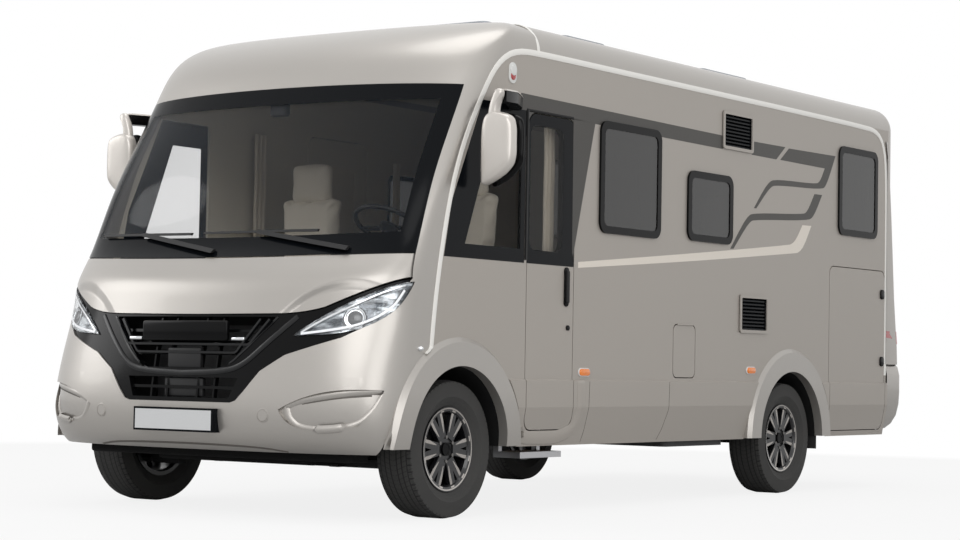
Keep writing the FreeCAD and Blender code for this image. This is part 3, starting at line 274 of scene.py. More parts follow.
def paint(name, colour, roughness, metallic, coat, flake):
    finish = Finish(name)
    flakes = finish.noise(900.0, 2.0)
    clouds = finish.noise(1.3, 4.0)
    dark = tuple(c * (1 - flake) for c in colour[:3]) + (1.0,)
    light = tuple(min(c * (1 + flake), 1.0) for c in colour[:3]) + (1.0,)
    tone = finish.blend(flakes * 0.5 + clouds * 0.5, dark, light)
    peel = finish.noise(140.0, 2.0)
    finish.tone = tone
    finish.set(
        Base_Color=tone,
        Roughness=finish.between(clouds, roughness * 0.92, roughness * 1.08),
        Metallic=metallic,
        Coat_Weight=coat,
        Coat_Roughness=0.08,
        Normal=finish.bump(peel, 0.04, 0.0004),
    )
    return finish


nose_paint = paint("nose_paint", **MOULDED_SHELL)
dress(nose_paint, "front_bumper", "wheel_arch_flares", "rear_wall")
print("nose paint mixed")

# %% [markdown]
# The walls and doors are painted outside and lined in cream inside, yet each is one solid. So the
# wall's finish asks how far from the middle the surface lies: everything further in than the skin is
# lining, from the sill up. A dark head above the driver's door carries the roof stripe on over the
# door's frame.

# %% Wall paint and lining
LINING = srgb(206, 199, 184)
STRIPE_GREY = srgb(66, 64, 61)
LINING_X, LINING_SILL = 1.184, 0.95

wall_paint = paint("wall_paint", **FLAT_PANEL)
x, y, z = wall_paint.place()
door_head = (y > -1.790) * (y < -1.240) * (z > 2.100) * (z < 2.300)
inside = (x.abs() < LINING_X) * (z > LINING_SILL)
outer = wall_paint.blend(door_head, wall_paint.tone, STRIPE_GREY)
wall_paint.set(Base_Color=wall_paint.blend(inside, outer, LINING),
               Metallic=wall_paint.between(inside, FLAT_PANEL["metallic"], 0.0))
dress(wall_paint, "side_wall_left", "side_wall_right", "skirts", "garage_door_left",
      "garage_door_right", "service_flap", "entry_door")
print("walls painted and lined")

# %% [markdown]
# The roof and the moulded nose are lined too, but a curved shell has no single depth. There the
# lining is whatever looks down and lies above the heads of the people in the cab.

# %% Roof paint and headlining
roof_paint = paint("roof_paint", **MOULDED_SHELL)
under = (roof_paint.facing()[2] < -0.3) * (roof_paint.place()[2] > 2.2)
roof_paint.set(Base_Color=roof_paint.blend(under, roof_paint.tone, LINING),
               Metallic=roof_paint.between(under, MOULDED_SHELL["metallic"], 0.0))
dress(roof_paint, "roof", "front_cap")
print("roof and nose painted")

# %% [markdown]
# Two soft creases run down the bonnet from the windshield towards the grille. They are only a few
# millimetres deep, so they are a smooth step in the bump along a curve seen from the front, which
# fades out towards the middle. Modelled strips were tried and rippled on the curved skin.

# %% Bonnet paint with its creases
bonnet_paint = paint("bonnet_paint", **MOULDED_SHELL)
x, y, z = bonnet_paint.place()
reach = x.abs()
above = z - (reach * -1.27 * reach + reach * 2.43 - 0.012 + 0.075)
fold = ((above * (1 / 0.07)).most(-0.5).least(0.5) + 0.5)
fold = fold * fold * (fold * -2.0 + 3.0)
fading = ((reach - 0.50) * 5.0).most(0.0).least(1.0)
bonnet_paint.set(Normal=bonnet_paint.bump((fold * -1.0 + 1.0) * fading, 1.0, 0.030))
dress(bonnet_paint, "bonnet")
print("bonnet painted and creased")

# %% [markdown]
# The driver's door is painted like the wall up to the belt line. Above it the real door is a black
# glass panel, so the same paint changes to gloss black by height. The change happens in Object
# coordinates, which for these pieces are the vehicle's own metres.

# %% Door paint with a black head
def black_print_and_shade(finish, mask):
    """Gloss black over the part of a piece where the mask is 1."""
    black = finish.tree.nodes.new("ShaderNodeBsdfPrincipled")
    black.inputs["Base Color"].default_value = srgb(12, 14, 17)
    black.inputs["Roughness"].default_value = 0.16
    black.inputs["Specular IOR Level"].default_value = 0.08
    finish.mix_shader(mask, black)


door_paint = paint("door_paint", **FLAT_PANEL)
black_print_and_shade(door_paint, door_paint.place()[2] > BELT_Z)
dress(door_paint, "driver_door")
print("door painted")

# %% [markdown]
# ## Plastics, rubber and metals
# Most of the trim is moulded plastic, either gloss black or grained black. Grain is a fine noise in
# the bump, and wear shows as slightly paler, rougher patches from a slow noise.

# %% Plastics and rubber
def moulded(name, colour, roughness, grain, coat=0.0, patchy=0.15, shine=0.5):
    finish = Finish(name)
    slow = finish.noise(3.0, 4.0)
    fine = finish.noise(grain, 2.0)
    pale = tuple(min(c * (1 + patchy) + patchy * 0.02, 1.0) for c in colour[:3]) + (1.0,)
    finish.set(
        Base_Color=finish.blend(slow, colour, pale),
        Roughness=finish.between(slow, roughness * 0.88, min(roughness * 1.12, 1.0)),
        Coat_Weight=coat,
        Specular_IOR_Level=shine,
        Normal=finish.bump(fine, 0.12 if not coat else 0.02, 0.0006),
    )
    return finish


gloss_black = moulded("gloss_black", srgb(5, 5, 6), 0.16, 60.0, 0.0, 0.1, 0.12)
grain_black = moulded("grain_black", srgb(26, 26, 27), 0.5, 700.0, 0.0, 0.15, 0.3)
liner_black = moulded("liner_black", srgb(14, 14, 14), 0.9, 260.0, 0.0, 0.15, 0.2)
smoked_lid = moulded("smoked_lid", srgb(104, 110, 119), 0.25, 200.0, 0.3, 0.06, 0.4)
milky_white = moulded("milky_white", srgb(205, 206, 204), 0.35, 200.0, 0.2, 0.04)
chassis_black = moulded("chassis_black", srgb(20, 20, 21), 0.6, 180.0, 0.0, 0.15, 0.3)
tank_grey = moulded("tank_grey", srgb(52, 52, 53), 0.6, 240.0)
cast_metal = moulded("cast_metal", srgb(70, 70, 70), 0.75, 320.0)
flap_rubber = moulded("flap_rubber", srgb(26, 26, 26), 0.8, 500.0)
dress(gloss_black, "grille", "window_frames")
dress(grain_black, "roof_light_frames", "wipers", "dashboard")
dress(liner_black, "wheel_arch_liners")
dress(smoked_lid, "roof_light_lid_front", "roof_light_lid_middle", "roof_light_lid_rear")
dress(chassis_black, "chassis_frame", "front_axle", "rear_axle", "steering_knuckle_left",
      "steering_knuckle_right")
dress(tank_grey, "tanks", "radiator")
dress(cast_metal, "engine_block")
dress(flap_rubber, "mudflaps")
print("plastics and rubber done")

# %% [markdown]
# A wall vent is a painted frame round slats that stand back in its shade. The frame stands proud of
# the wall, so distance from the middle tells the two apart, and the slats are painted black as that
# shade.

# %% Vent paint
VENT_FRAME_X = 1.1935
vent_paint = paint("vent_paint", **FLAT_PANEL)
# The gloss black on the slats is painted shade.
black_print_and_shade(vent_paint, vent_paint.place()[0].abs() < VENT_FRAME_X)
dress(vent_paint, "wall_vents")
print("vents painted")

# %% [markdown]
# Bare metal: the entry steps are ribbed aluminium with a fine brushed line, the mirrors are silvered
# glass, and the lamps have bright rings. Even metal gets a little noise in its roughness, because
# none is perfect.

# %% Metals
EVEN = (1.0, 1.0, 1.0)


def metal(name, colour, roughness, brushed):
    finish = Finish(name)
    lines = finish.noise(60.0, 3.0, stretch=brushed)
    finish.set(Base_Color=colour, Metallic=1.0,
               Roughness=finish.between(lines, roughness * 0.8, roughness * 1.3),
               Normal=finish.bump(lines, 0.06, 0.0005))
    return finish


step_alloy = metal("step_alloy", srgb(190, 190, 192), 0.32, (1.0, 14.0, 14.0))
mirror_silver = metal("mirror_silver", srgb(235, 238, 240), 0.03, EVEN)
lamp_chrome = metal("lamp_chrome", srgb(226, 228, 230), 0.08, EVEN)
dress(step_alloy, "entry_steps")
print("metals done")

# %% [markdown]
# ## Glass
# A pane that refracts hides a room from the lamps, and the cab would be black. So a pane here is a
# thin dark film: its alpha says how much it covers, little when looked at squarely and nearly all at
# a slant, as real glass does. The lamp lenses are true glass, because nothing behind them has to be
# lit through them.

# %% Glass recipes
def pane(name, colour, dense):
    """A thin pane: dark in itself, see-through by what density leaves, and glossier at a slant."""
    finish = Finish(name)
    smear = finish.noise(5.0, 4.0)
    slant = finish.node("ShaderNodeLayerWeight", {}, out=1, Blend=0.5)
    finish.set(Base_Color=colour, Roughness=finish.between(smear, 0.02, 0.05),
               Alpha=(slant * slant * slant * 0.6 + dense).least(1.0), Specular_IOR_Level=0.8)
    return finish


def glass(name, colour):
    finish = Finish(name)
    smear = finish.noise(5.0, 4.0)
    finish.set(Base_Color=colour, Roughness=finish.between(smear, 0.0, 0.02), Transmission_Weight=1.0,
               IOR=1.45)
    return finish


door_glass = pane("door_glass", srgb(26, 25, 23), 0.14)
dress(door_glass, "driver_door_glass", "entry_door_glass")
lens_glass = glass("lens_glass", srgb(240, 243, 245))
dress(lens_glass, "headlamp_lenses")
print("glass recipes ready")

# %% [markdown]
# The windshield has a printed black border, 85 mm wide, which hides the glue. Its mask is the
# distance to the nearest edge of the pane, worked out from the height and the half width. The fixed
# side panes are acrylic: dense ones in the cabin walls, and a clear one with a black border ahead of
# the driver's door.

# %% Windshield and fixed panes
PRINT_WIDTH = 0.085

screen_glass = pane("screen_glass", srgb(30, 39, 50), 0.10)
x, y, z = screen_glass.place()
side_edge = 1.174 - (z - 1.40) * 0.049
edge = (side_edge - x.abs()).least(z - 1.405 + x * x * -0.018).least(2.338 - z)
black_print_and_shade(screen_glass, edge < PRINT_WIDTH)
dress(screen_glass, "windshield")
tinted = pane("tinted_acrylic", srgb(16, 14, 12), 0.3)
x, y, z = tinted.place()
slant = (y + 2.330) - (z - 1.47) * 0.40
clear = slant.least(-1.800 - y).least(z - 1.470).least(2.120 - z)
tinted.set(Alpha=tinted.between(y < -1.0, 0.80, 0.08))
black_print_and_shade(tinted, (y < -1.74) * (clear < 0.0))
dress(tinted, "fixed_window_panes")
red_lens = moulded("red_lens", srgb(150, 20, 24), 0.15, 90.0, 0.7)
amber_lens = moulded("amber_lens", srgb(224, 120, 24), 0.15, 90.0, 0.7)
print("panes glazed")

# %% [markdown]
# ## Floor, plates and lamp bowls
# The cabin floor is planks with dark joints, and carpet in the cab. Fract turns x into a saw that
# repeats at every plank, so the joint is where the saw is near its ends.

# %% Cabin floor
plank = Finish("plank")
x, y, z = plank.place()
joint = ((x * 7.5).math("FRACT") - 0.5).abs() > 0.485
grain = plank.noise(9.0, 6.0, 0.6, stretch=(9.0, 0.8, 1.0))
wood = plank.blend(grain, srgb(96, 74, 52), srgb(138, 110, 80))
carpet = y < -2.0
plank.set(Base_Color=plank.blend(carpet, plank.blend(joint, wood, srgb(40, 30, 22)), srgb(20, 20, 21)),
          Roughness=plank.between(carpet, 0.45, 0.95))
dress(plank, "cabin_floor")
print("floor laid")

# %% [markdown]
# The number plates are plain grey with nothing on them, in a narrow black frame. The bowls behind the
# headlamp lenses are vapour-coated plastic; their bright and dark streaks are painted reflection,
# standing in for what the many facets of the real one mirror.

# %% Plates and lamp bowls
PLATE_HALF_WIDTH, PLATE_HEIGHT, PLATE_FRAME, PLATE_FACE_Y = 0.280, 0.126, 0.011, 3.2955
PLATE_FOOT_FRONT, PLATE_FOOT_REAR = 0.442, 0.568

plate_grey = moulded("plate_grey", srgb(196, 197, 198), 0.4, 300.0, 0.0, 0.03)
x, y, z = plate_grey.place()
up = z - plate_grey.between(y > 0.0, PLATE_FOOT_FRONT, PLATE_FOOT_REAR)
edge = (PLATE_HALF_WIDTH - x.abs()).least(up).least(PLATE_HEIGHT - up)
black_print_and_shade(plate_grey, (edge < PLATE_FRAME).most(y.abs() < PLATE_FACE_Y))
dress(plate_grey, "number_plates")
bowl_finish = Finish("lamp_bowl")
streak = bowl_finish.noise(7.0, 2.0, 0.5, stretch=(1.0, 0.6, 3.2))
facet = bowl_finish.noise(26.0, 1.0)
# The bright streaks in the bowl's colour are a painted reflection of a chrome reflector.
shine = ((streak - 0.44) * 6.0).most(0.0).least(1.0)
bowl_finish.set(Base_Color=bowl_finish.blend(shine, srgb(92, 96, 101), srgb(240, 242, 244)),
                Metallic=0.55, Roughness=bowl_finish.between(facet, 0.08, 0.22),
                Normal=bowl_finish.bump(streak, 0.5, 0.02))
dress(bowl_finish, "headlamp_bowls")
print("plates and bowls done")

# %% [markdown]
# ## Camera and studio
# The portrait is taken from the front left with a long lens, a little below the middle of the coach,
# so the camera looks up slightly. Its three axes are written out, because that keeps the small roll
# exact.

# %% Camera
FOCAL_LENGTH = 85.28
LENS_SHIFT = -0.01397
CAMERA_PLACE = (8.2131, -12.2822, 0.8155)

scene = bpy.context.scene
lens = bpy.data.cameras.new("portrait_lens")
lens.sensor_width = 36.0
lens.lens = FOCAL_LENGTH
lens.shift_y = LENS_SHIFT
lens.clip_end = 200.0
camera = bpy.data.objects.new("portrait_camera", lens)
bpy.context.collection.objects.link(camera)
RIGHT = Vector((0.82127, 0.57030, 0.01807))
UP = Vector((0.01259, -0.04976, 0.99871))
BACK = Vector((0.57041, -0.81996, -0.04804))
turn = Matrix((RIGHT, UP, BACK)).transposed().to_4x4()
camera.matrix_world = Matrix.Translation(CAMERA_PLACE) @ turn
scene.camera = camera
print("camera", [round(c, 3) for c in camera.location])

# %% [markdown]
# The floor is a wide pale sheet that catches the shadow of the coach. Away from the wheels it fades
# to plain white, but only where the camera looks at it, so the light it throws back stays soft.

# %% Studio floor
FLOOR_RADIUS = 90.0
FLOOR_DROP = 0.002

floor_finish = Finish("studio_floor")
x, y, z = floor_finish.place()
away = ((x * x + y * y).math("SQRT") - 3.0) * (1 / 6.0)
seen_white = floor_finish.tree.nodes.new("ShaderNodeEmission")
seen_white.inputs["Color"].default_value = (1, 1, 1, 1)
looked_at = floor_finish.node("ShaderNodeLightPath", {}, out="Is Camera Ray")
fade = away.most(0.85).least(1.0)
tone = floor_finish.blend(floor_finish.noise(0.4), (0.55, 0.55, 0.55, 1), (0.58, 0.58, 0.58, 1))
floor_finish.set(Base_Color=tone, Roughness=0.9)
floor_finish.mix_shader(looked_at * fade, seen_white)
bm = bmesh.new()
bmesh.ops.create_circle(bm, cap_ends=True, segments=96, radius=FLOOR_RADIUS)
bmesh.ops.translate(bm, verts=bm.verts, vec=(0, 0, -FLOOR_DROP))
mesh = bpy.data.meshes.new("floor")
bm.to_mesh(mesh)
bm.free()
mesh.materials.append(floor_finish.material)
floor = bpy.data.objects.new("floor", mesh)
bpy.context.collection.objects.link(floor)
print("floor spread")

# %% [markdown]
# The world is plain white to the camera, to reflections and through glass, while the light that it
# gives is a little lower. A Light Path node tells these rays apart and chooses between two
# backgrounds.

# %% World
WORLD_LIGHT = 0.66

world = bpy.data.worlds.new("studio")
scene.world = world
world.use_nodes = True
tree = world.node_tree
light_path = tree.nodes.new("ShaderNodeLightPath")
choose = tree.nodes.new("ShaderNodeMixShader")
seen = light_path.outputs["Is Camera Ray"]
for kind in ("Is Glossy Ray", "Is Transmission Ray"):
    either = tree.nodes.new("ShaderNodeMath")
    either.operation = "MAXIMUM"
    tree.links.new(seen, either.inputs[0])
    tree.links.new(light_path.outputs[kind], either.inputs[1])
    seen = either.outputs[0]
tree.links.new(seen, choose.inputs[0])
plain, white = tree.nodes["Background"], tree.nodes.new("ShaderNodeBackground")
for slot, (background, strength) in enumerate(((plain, WORLD_LIGHT), (white, 1.0)), start=1):
    background.inputs["Color"].default_value = (1, 1, 1, 1)
    background.inputs["Strength"].default_value = strength
    tree.links.new(background.outputs[0], choose.inputs[slot])
tree.links.new(choose.outputs[0], tree.nodes["World Output"].inputs[0])
scene.view_settings.view_transform = "Standard"
print("world is white")

# %% [markdown]
# Four broad lamps shape the body: a key from the front left, one that runs along the near side, a
# fill from the front right and a soft one from above. A large disc gives the long soft highlights of
# a photo studio.

# %% Lamps of the studio
def lamp(name, place, target, size, power):
    data = bpy.data.lights.new(name, "AREA")
    data.shape, data.size, data.energy = "DISK", size, power
    made = bpy.data.objects.new(name, data)
    bpy.context.collection.objects.link(made)
    made.location = place
    made.rotation_euler = (Vector(place) - Vector(target)).to_track_quat("Z", "Y").to_euler()


lamp("key", (6.0, -13.0, 9.0), (0.0, -1.0, 1.2), 9.0, 540.0)
lamp("side", (12.0, -7.5, 4.5), (0.8, -1.0, 1.3), 8.0, 330.0)
lamp("fill", (-11.0, -8.0, 6.0), (0.0, -1.0, 1.2), 7.0, 300.0)
lamp("top", (0.0, 0.0, 13.0), (0.0, 0.5, 1.0), 9.0, 420.0)
print("lamps lit")

# %% [markdown]
# ## Tools for trim
# Nearly every detail of a coach body is a strip or a plate that lies on a panel, such as trim, seals
# and stripes. Its place is known only in side view or front view, so a ray is sent in from there, and
# the panel that it meets gives the missing measure. Where a ray slips into a seam, the nearest panel
# answers for it.

# %% Rays onto the panels
trees = {}


def tree_of(name):
    if name not in trees:
        probe = bmesh.new()
        probe.from_mesh(nodes[name].data)
        trees[name] = BVHTree.FromBMesh(probe)
        probe.free()
    return trees[name]


def cast(start, way, names):
    """The first panel along a ray, or the nearest one where the ray falls into a seam."""
    start, way = Vector(start), Vector(way)
    hits = [hit for hit in (tree_of(n).ray_cast(start, way) for n in names) if hit[0]]
    if not hits:
        near = start + way * (abs(start.dot(way)) - HALF_WIDTH)
        hits = [hit for hit in (tree_of(n).find_nearest(near) for n in names) if hit[0]]
    spot, normal = min(hits, key=lambda hit: hit[3])[:2]
    return spot, (normal if normal.dot(way) < 0 else -normal)


WALLS = ("side_wall_left", "side_wall_right")
SIDE_PANELS = ("front_cap", *WALLS, "skirts", "fixed_window_panes", "driver_door", "entry_door",
               "garage_door_left", "garage_door_right", "rear_wall", "roof", "bonnet", "front_bumper")
FRONT_PANELS = ("front_cap", "windshield", "bonnet", "grille", "front_bumper", "headlamp_lenses")


def from_side(y, z, names, side=1):
    return cast((side * 2.0, y, z), (-side, 0, 0), names)


def on_side(y, z, side=1):
    return from_side(y, z, SIDE_PANELS, side)


def from_front(x, z, *names):
    return cast((x, -4.0, z), (0, 1, 0), names)


def on_front(x, z):
    return from_front(x, z, *FRONT_PANELS)


print("rays ready, side wall at x", round(on_side(0.5, 1.2)[0].x, 4))

# %% [markdown]
# A finished piece is a bmesh made into an object, shaded smooth with its real edges kept sharp, that
# rides on a body. A sweep carries a section along a path: it extrudes the section's edges and moves
# the new ones on with a matrix, which is what the bridge between two frames is.

# %% Pieces and sweeps
def finished(name, bm, finish, body="coach", flat=35.0):
    """Turns a bmesh into a piece that rides on a body."""
    bmesh.ops.recalc_face_normals(bm, faces=bm.faces)
    mesh = bpy.data.meshes.new(name)
    bm.to_mesh(mesh)
    bm.free()
    mesh.materials.append(finish.material)
    mesh.shade_smooth()
    mesh.set_sharp_from_angle(angle=math.radians(flat))
    piece = bpy.data.objects.new(name, mesh)
    bpy.context.collection.objects.link(piece)
    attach(piece, body)
    return piece


def extruded(bm, edges):
    """Extrudes edges in place, and gives the new vertices and the edges between them."""
    made = bmesh.ops.extrude_edge_only(bm, edges=edges)["geom"]
    verts = [g for g in made if isinstance(g, bmesh.types.BMVert)]
    fresh = set(verts)
    return verts, [g for g in made if isinstance(g, bmesh.types.BMEdge) and set(g.verts) <= fresh]


def chain(bm, places):
    """Vertices at places, joined in a row."""
    verts = [bm.verts.new(place) for place in places]
    return verts, [bm.edges.new(pair) for pair in zip(verts, verts[1:])]


def sweep(bm, section, frames, closed=False):
    """Carries a closed section along frames, by extruding its edges and moving them on."""
    first = [bm.verts.new(frames[0] @ Vector((a, b, 0))) for a, b in section]
    edges = [bm.edges.new(pair) for pair in zip(first, first[1:] + first[:1])]
    start_edges = edges
    for before, after in zip(frames, frames[1:]):
        verts, edges = extruded(bm, edges)
        bmesh.ops.transform(bm, matrix=after @ before.inverted(), verts=verts)
    if closed:
        bmesh.ops.bridge_loops(bm, edges=start_edges + edges)
    else:
        for loop in (start_edges, edges):
            bmesh.ops.contextual_create(bm, geom=loop)


def frames_on(points, normals, loop=False):
    """Frames whose first axis lies across the path, on the panel, and whose second leaves the panel."""
    frames = []
    last = len(points) - 1
    if isinstance(normals, Vector):
        normals = [normals] * len(points)
    for i, (spot, normal) in enumerate(zip(points, normals)):
        ahead = points[(i + 1) % len(points)] if loop else points[min(i + 1, last)]
        behind = points[i - 1] if loop else points[max(i - 1, 0)]
        along = (ahead - behind).normalized()
        across = normal.cross(along).normalized()
        out = along.cross(across).normalized()
        if out.dot(normal) < 0:
            across, out = -across, -out
        frame = Matrix((across, out, along)).transposed().to_4x4()
        frame.translation = spot
        frames.append(frame)
    return frames


print("sweeps ready")

# %% [markdown]
# A strip is a domed section swept along stations, which are pairs of measures in side view or front
# view. The stations are spread evenly first, and cutting their corners rounds the path. A ring is a
# closed strip.

# %% Strips and rings
def spread(stations, count):
    """More points along a row of stations, evenly by length and joined by straight lines."""
    rows = np.array(stations, dtype=float)
    run = np.concatenate([[0], np.cumsum(np.linalg.norm(np.diff(rows, axis=0), axis=1))])
    return np.array([np.interp(np.linspace(0, run[-1], count), run, column) for column in rows.T]).T


def soften(stations, times=2):
    """Cuts the corners of an open row of stations, which rounds it."""
    rows = np.array(stations, dtype=float)
    for _ in range(times):
        before, after = rows[:-1], rows[1:]
        inner = np.stack([0.75 * before + 0.25 * after, 0.25 * before + 0.75 * after], 1).reshape(-1, 2)
        rows = np.concatenate([rows[:1], inner[1:-1], rows[-1:]])
    return rows


DOME = [(-0.5, -0.5), (-0.5, 0.55), (-0.36, 1.0), (0.36, 1.0), (0.5, 0.55), (0.5, -0.5)]


def scaled(section, width, rise):
    return [(a * width, b * rise) for a, b in section]


def mirrored(stations, side):
    """Front-view stations on the side asked for."""
    return [(side * u, v) for u, v in stations]


def strip(name, stations, width, rise, finish, place=on_side, body="coach", count=60, loop=False,
          shape=DOME, side=1):
    """A strip of trim along a path given in side view or front view."""
    rows = spread(stations, count)
    found = [place(u, v, side) if place is on_side else place(u, v) for u, v in rows]
    points, normals = zip(*found)
    bm = bmesh.new()
    sweep(bm, scaled(shape, width, rise), frames_on(points, normals, loop), loop)
    return finished(name, bm, finish, body)


def rounded(left, right, low, high, radius, steps=5):
    """A rounded rectangle's stations, closed on itself."""
    rows = []
    for cx, cz, start in ((right - radius, high - radius, 0), (left + radius, high - radius, 90),
                          (left + radius, low + radius, 180), (right - radius, low + radius, 270)):
        for i in range(steps + 1):
            angle = math.radians(start + 90 * i / steps)
            rows.append((cx + radius * math.cos(angle), cz + radius * math.sin(angle)))
    return rows + rows[:1]


def ring(name, stations, width, rise, finish, **more):
    """A closed strip, such as a seal round a window."""
    rows = spread(stations, more.pop("count", 96) + 1)[:-1]
    return strip(name, rows, width, rise, finish, count=len(rows), loop=True, **more)


print("trim tools ready")

# %% [markdown]
# ## White edge trim
# A pale moulding covers the joint between the moulded nose and the flat side, then follows the roof
# edge and goes down at the rear corner. It is one bent profile on the real coach, so it is one sweep
# here on each side.

# %% Edge trim
TRIM_PATH = [(-2.632, 0.80), (-2.588, 1.21), (-2.485, 1.693), (-2.37, 2.0), (-2.214, 2.256),
             (-2.09, 2.436), (-1.98, 2.525), (-1.85, 2.570), (-1.62, 2.579), (-1.0, 2.578),
             (2.60, 2.578), (2.85, 2.555), (2.955, 2.44), (2.985, 2.2), (2.988, 1.6), (2.988, 0.80)]
edge_paint = moulded("edge_paint", srgb(226, 224, 219), 0.3, 160.0, 0.4, 0.03)
for side, word in SIDES:
    strip("edge_trim_" + word, soften(TRIM_PATH), 0.034, 0.004, edge_paint, count=150, side=side)
print("edge trim laid")

# %% [markdown]
# ## Side stripes
# The decoration is plain bands of vinyl: a dark one under the roof, two thin hooks behind the middle
# and a cream line that climbs from the cab. A band runs between an upper and a lower row of stations.

# %% Stripes
stripe_dark = moulded("stripe_dark", STRIPE_GREY, 0.4, 400.0, 0.0, 0.05, 0.3)
stripe_cream = moulded("stripe_cream", srgb(216, 208, 197), 0.35, 400.0, 0.1, 0.03)


def paired(stations, count):
    """Points along a row of stations, as many between each two, so that two rows keep step."""
    rows = np.array(stations, dtype=float)
    at = np.linspace(0, len(rows) - 1, count)
    return [np.array([np.interp(i, range(len(rows)), column) for column in rows.T]) for i in at]


def band(name, uppers, lowers, finish, count=36, side=1):
    """A flat vinyl band between two rows of as many stations."""
    bm = bmesh.new()
    frames = []
    normal = Vector((side, 0, 0))
    for pair in zip(paired(uppers, count), paired(lowers, count)):
        top, low = (Vector((side * HALF_WIDTH, *place)) for place in pair)
        across = top - low
        along = across.cross(normal).normalized()
        frame = Matrix((across, normal, along)).transposed().to_4x4()
        frame.translation = (top + low) / 2
        frames.append(frame)
    section = [(-0.5, -1), (-0.5, 1), (0.0, 1), (0.5, 1), (0.5, -1), (0.0, -1)]
    sweep(bm, scaled(section, 1.0, VINYL), frames)
    return finished(name, bm, finish)


BANDS = {
    "roof_band": ([(-1.815, 2.339), (0.511, 2.318)], [(-1.815, 2.246), (0.514, 2.231)]),
    "door_wedge": ([(-1.268, 2.252), (-1.262, 1.480)], [(-1.03, 2.246), (-1.252, 1.450)]),
    "vent_band": ([(0.905, 2.318), (1.383, 2.321)], [(0.905, 2.229), (1.252, 2.227)]),
    "hook_head": ([(1.435, 2.317), (2.144, 2.326)], [(1.309, 2.229), (1.979, 2.226)]),
}
BENDS = {
    "hook": ([(2.144, 2.326), (2.007, 2.108), (1.930, 2.075), (1.256, 2.057), (1.165, 2.033),
              (0.978, 1.881)],
             [(1.979, 2.226), (1.907, 2.128), (1.835, 2.107), (1.255, 2.096), (1.135, 2.065),
              (0.945, 1.881)]),
    "low": ([(1.942, 2.039), (1.816, 1.879), (1.720, 1.847), (0.969, 1.807), (0.880, 1.786),
             (0.673, 1.600)],
            [(1.824, 2.037), (1.718, 1.906), (1.645, 1.886), (0.968, 1.851), (0.850, 1.824),
             (0.630, 1.598)]),
}
CREAM = ([(-1.195, 1.425), (0.109, 1.540), (1.390, 1.660), (1.530, 1.680), (1.648, 1.812)],
         [(-1.194, 1.391), (0.111, 1.491), (1.460, 1.608), (1.640, 1.625), (1.781, 1.815)])
for side, word in SIDES:
    for name, (uppers, lowers) in BANDS.items():
        band(f"{name}_{word}", uppers, lowers, stripe_dark, side=side)
    for name, (outer, inner) in BENDS.items():
        band(f"{name}_bend_{word}", soften(outer), soften(inner), stripe_dark, 72, side=side)
    band("cream_line_" + word, soften(CREAM[0]), soften(CREAM[1]), stripe_cream, 60, side=side)
print("stripes laid")

# %% [markdown]
# ## Wheels
# The CAD wheels have six forked spokes. The real ones are black with their outer faces turned bright,
# so the finish looks at which way the surface faces and how far out it lies, and shows bare alloy
# there. That bright alloy also paints in the thin highlights that the spokes catch.

# %% Wheel finish
SPOKES = 6
SPOKE_FACE_X = 1.09


def polar(finish, hub_y):
    """Distance from the middle plane, and radius and angle round a wheel's axle."""
    x, y, z = finish.place()
    u, v = y - hub_y, z - HUB_Z
    return x.abs(), (u * u + v * v).math("SQRT"), v.math("ARCTAN2", u)


def wheel_finish(name, hub_y):
    finish = Finish(name)
    out, radius, angle = polar(finish, hub_y)
    fold = ((angle * (SPOKES / TURN)).math("FRACT") - 0.5).abs() * (TURN / SPOKES)
    off_axis = (fold - TURN / (4 * SPOKES)).abs() * radius
    edge = (off_axis < (radius - 0.100) * 0.11 + 0.003) * (radius > 0.092) * (radius < 0.212)
    lip = (radius > 0.2145) * (radius < 0.2215)
    # The bright outer faces are partly turned alloy and partly a painted highlight.
    bright = (edge.most(lip) * (finish.facing()[0].abs() > 0.9) * (out > SPOKE_FACE_X)).least(1.0)
    slow = finish.noise(8.0, 3.0)
    finish.set(Base_Color=finish.blend(bright, srgb(24, 24, 26), srgb(176, 171, 166)),
               Roughness=finish.between(bright, 0.28, 0.25), Metallic=bright, Coat_Weight=0.3,
               Normal=finish.bump(slow, 0.05, 0.0006))
    return finish


for axle, hub_y, _ in AXLES:
    dress(wheel_finish("wheel_" + axle, hub_y), f"rim_{axle}_left", f"rim_{axle}_right")
print("wheels dressed")

# %% [markdown]
# Tyres have four grooves round the tread, short sipes across the ribs and rings on the side walls.
# All of that is relief a few millimetres deep, which a bump from radius, width and angle shows well,
# and the cuts are painted darker as the shade inside them.

# %% Tyre finish
def tyre_finish(name, hub_y, outer_x):
    finish = Finish(name)
    out, radius, angle = polar(finish, hub_y)
    across = (out - (outer_x - TYRE_W / 2)).abs()
    tread = radius > TYRE_R - 0.016
    ribs = (across > 0.010) * (across < 0.088)
    grooves = (((across - 0.018) * (1 / 0.032)).math("FRACT") < 0.24) * ribs
    sipes = (((angle * (84 / TURN)) + across * 14.0).math("FRACT") < 0.14) * (across > 0.004)
    shoulder = ((angle * (62 / TURN)).math("FRACT") < 0.20) * (across > 0.086)
    cut = grooves.most(sipes * 0.6).most(shoulder) * tread
    rings = ((radius * 55.0).math("SINE") > 0.93) * (radius < TYRE_R - 0.03) * (radius > 0.245)
    height = 1.0 - cut + rings * 0.25
    dust = finish.noise(6.0, 4.0)
    rubber = finish.blend(dust, srgb(40, 40, 40), srgb(58, 57, 55))
    # The cuts' near-black colour is painted shade inside the grooves.
    finish.set(Base_Color=finish.blend(cut, rubber, srgb(16, 16, 16)),
               Roughness=finish.between(dust, 0.72, 0.86), Normal=finish.bump(height, 0.9, 0.004))
    return finish


for axle, hub_y, outer_x in AXLES:
    dress(tyre_finish("tyre_" + axle, hub_y, outer_x), f"tyre_{axle}_left", f"tyre_{axle}_right")
print("tyres dressed")

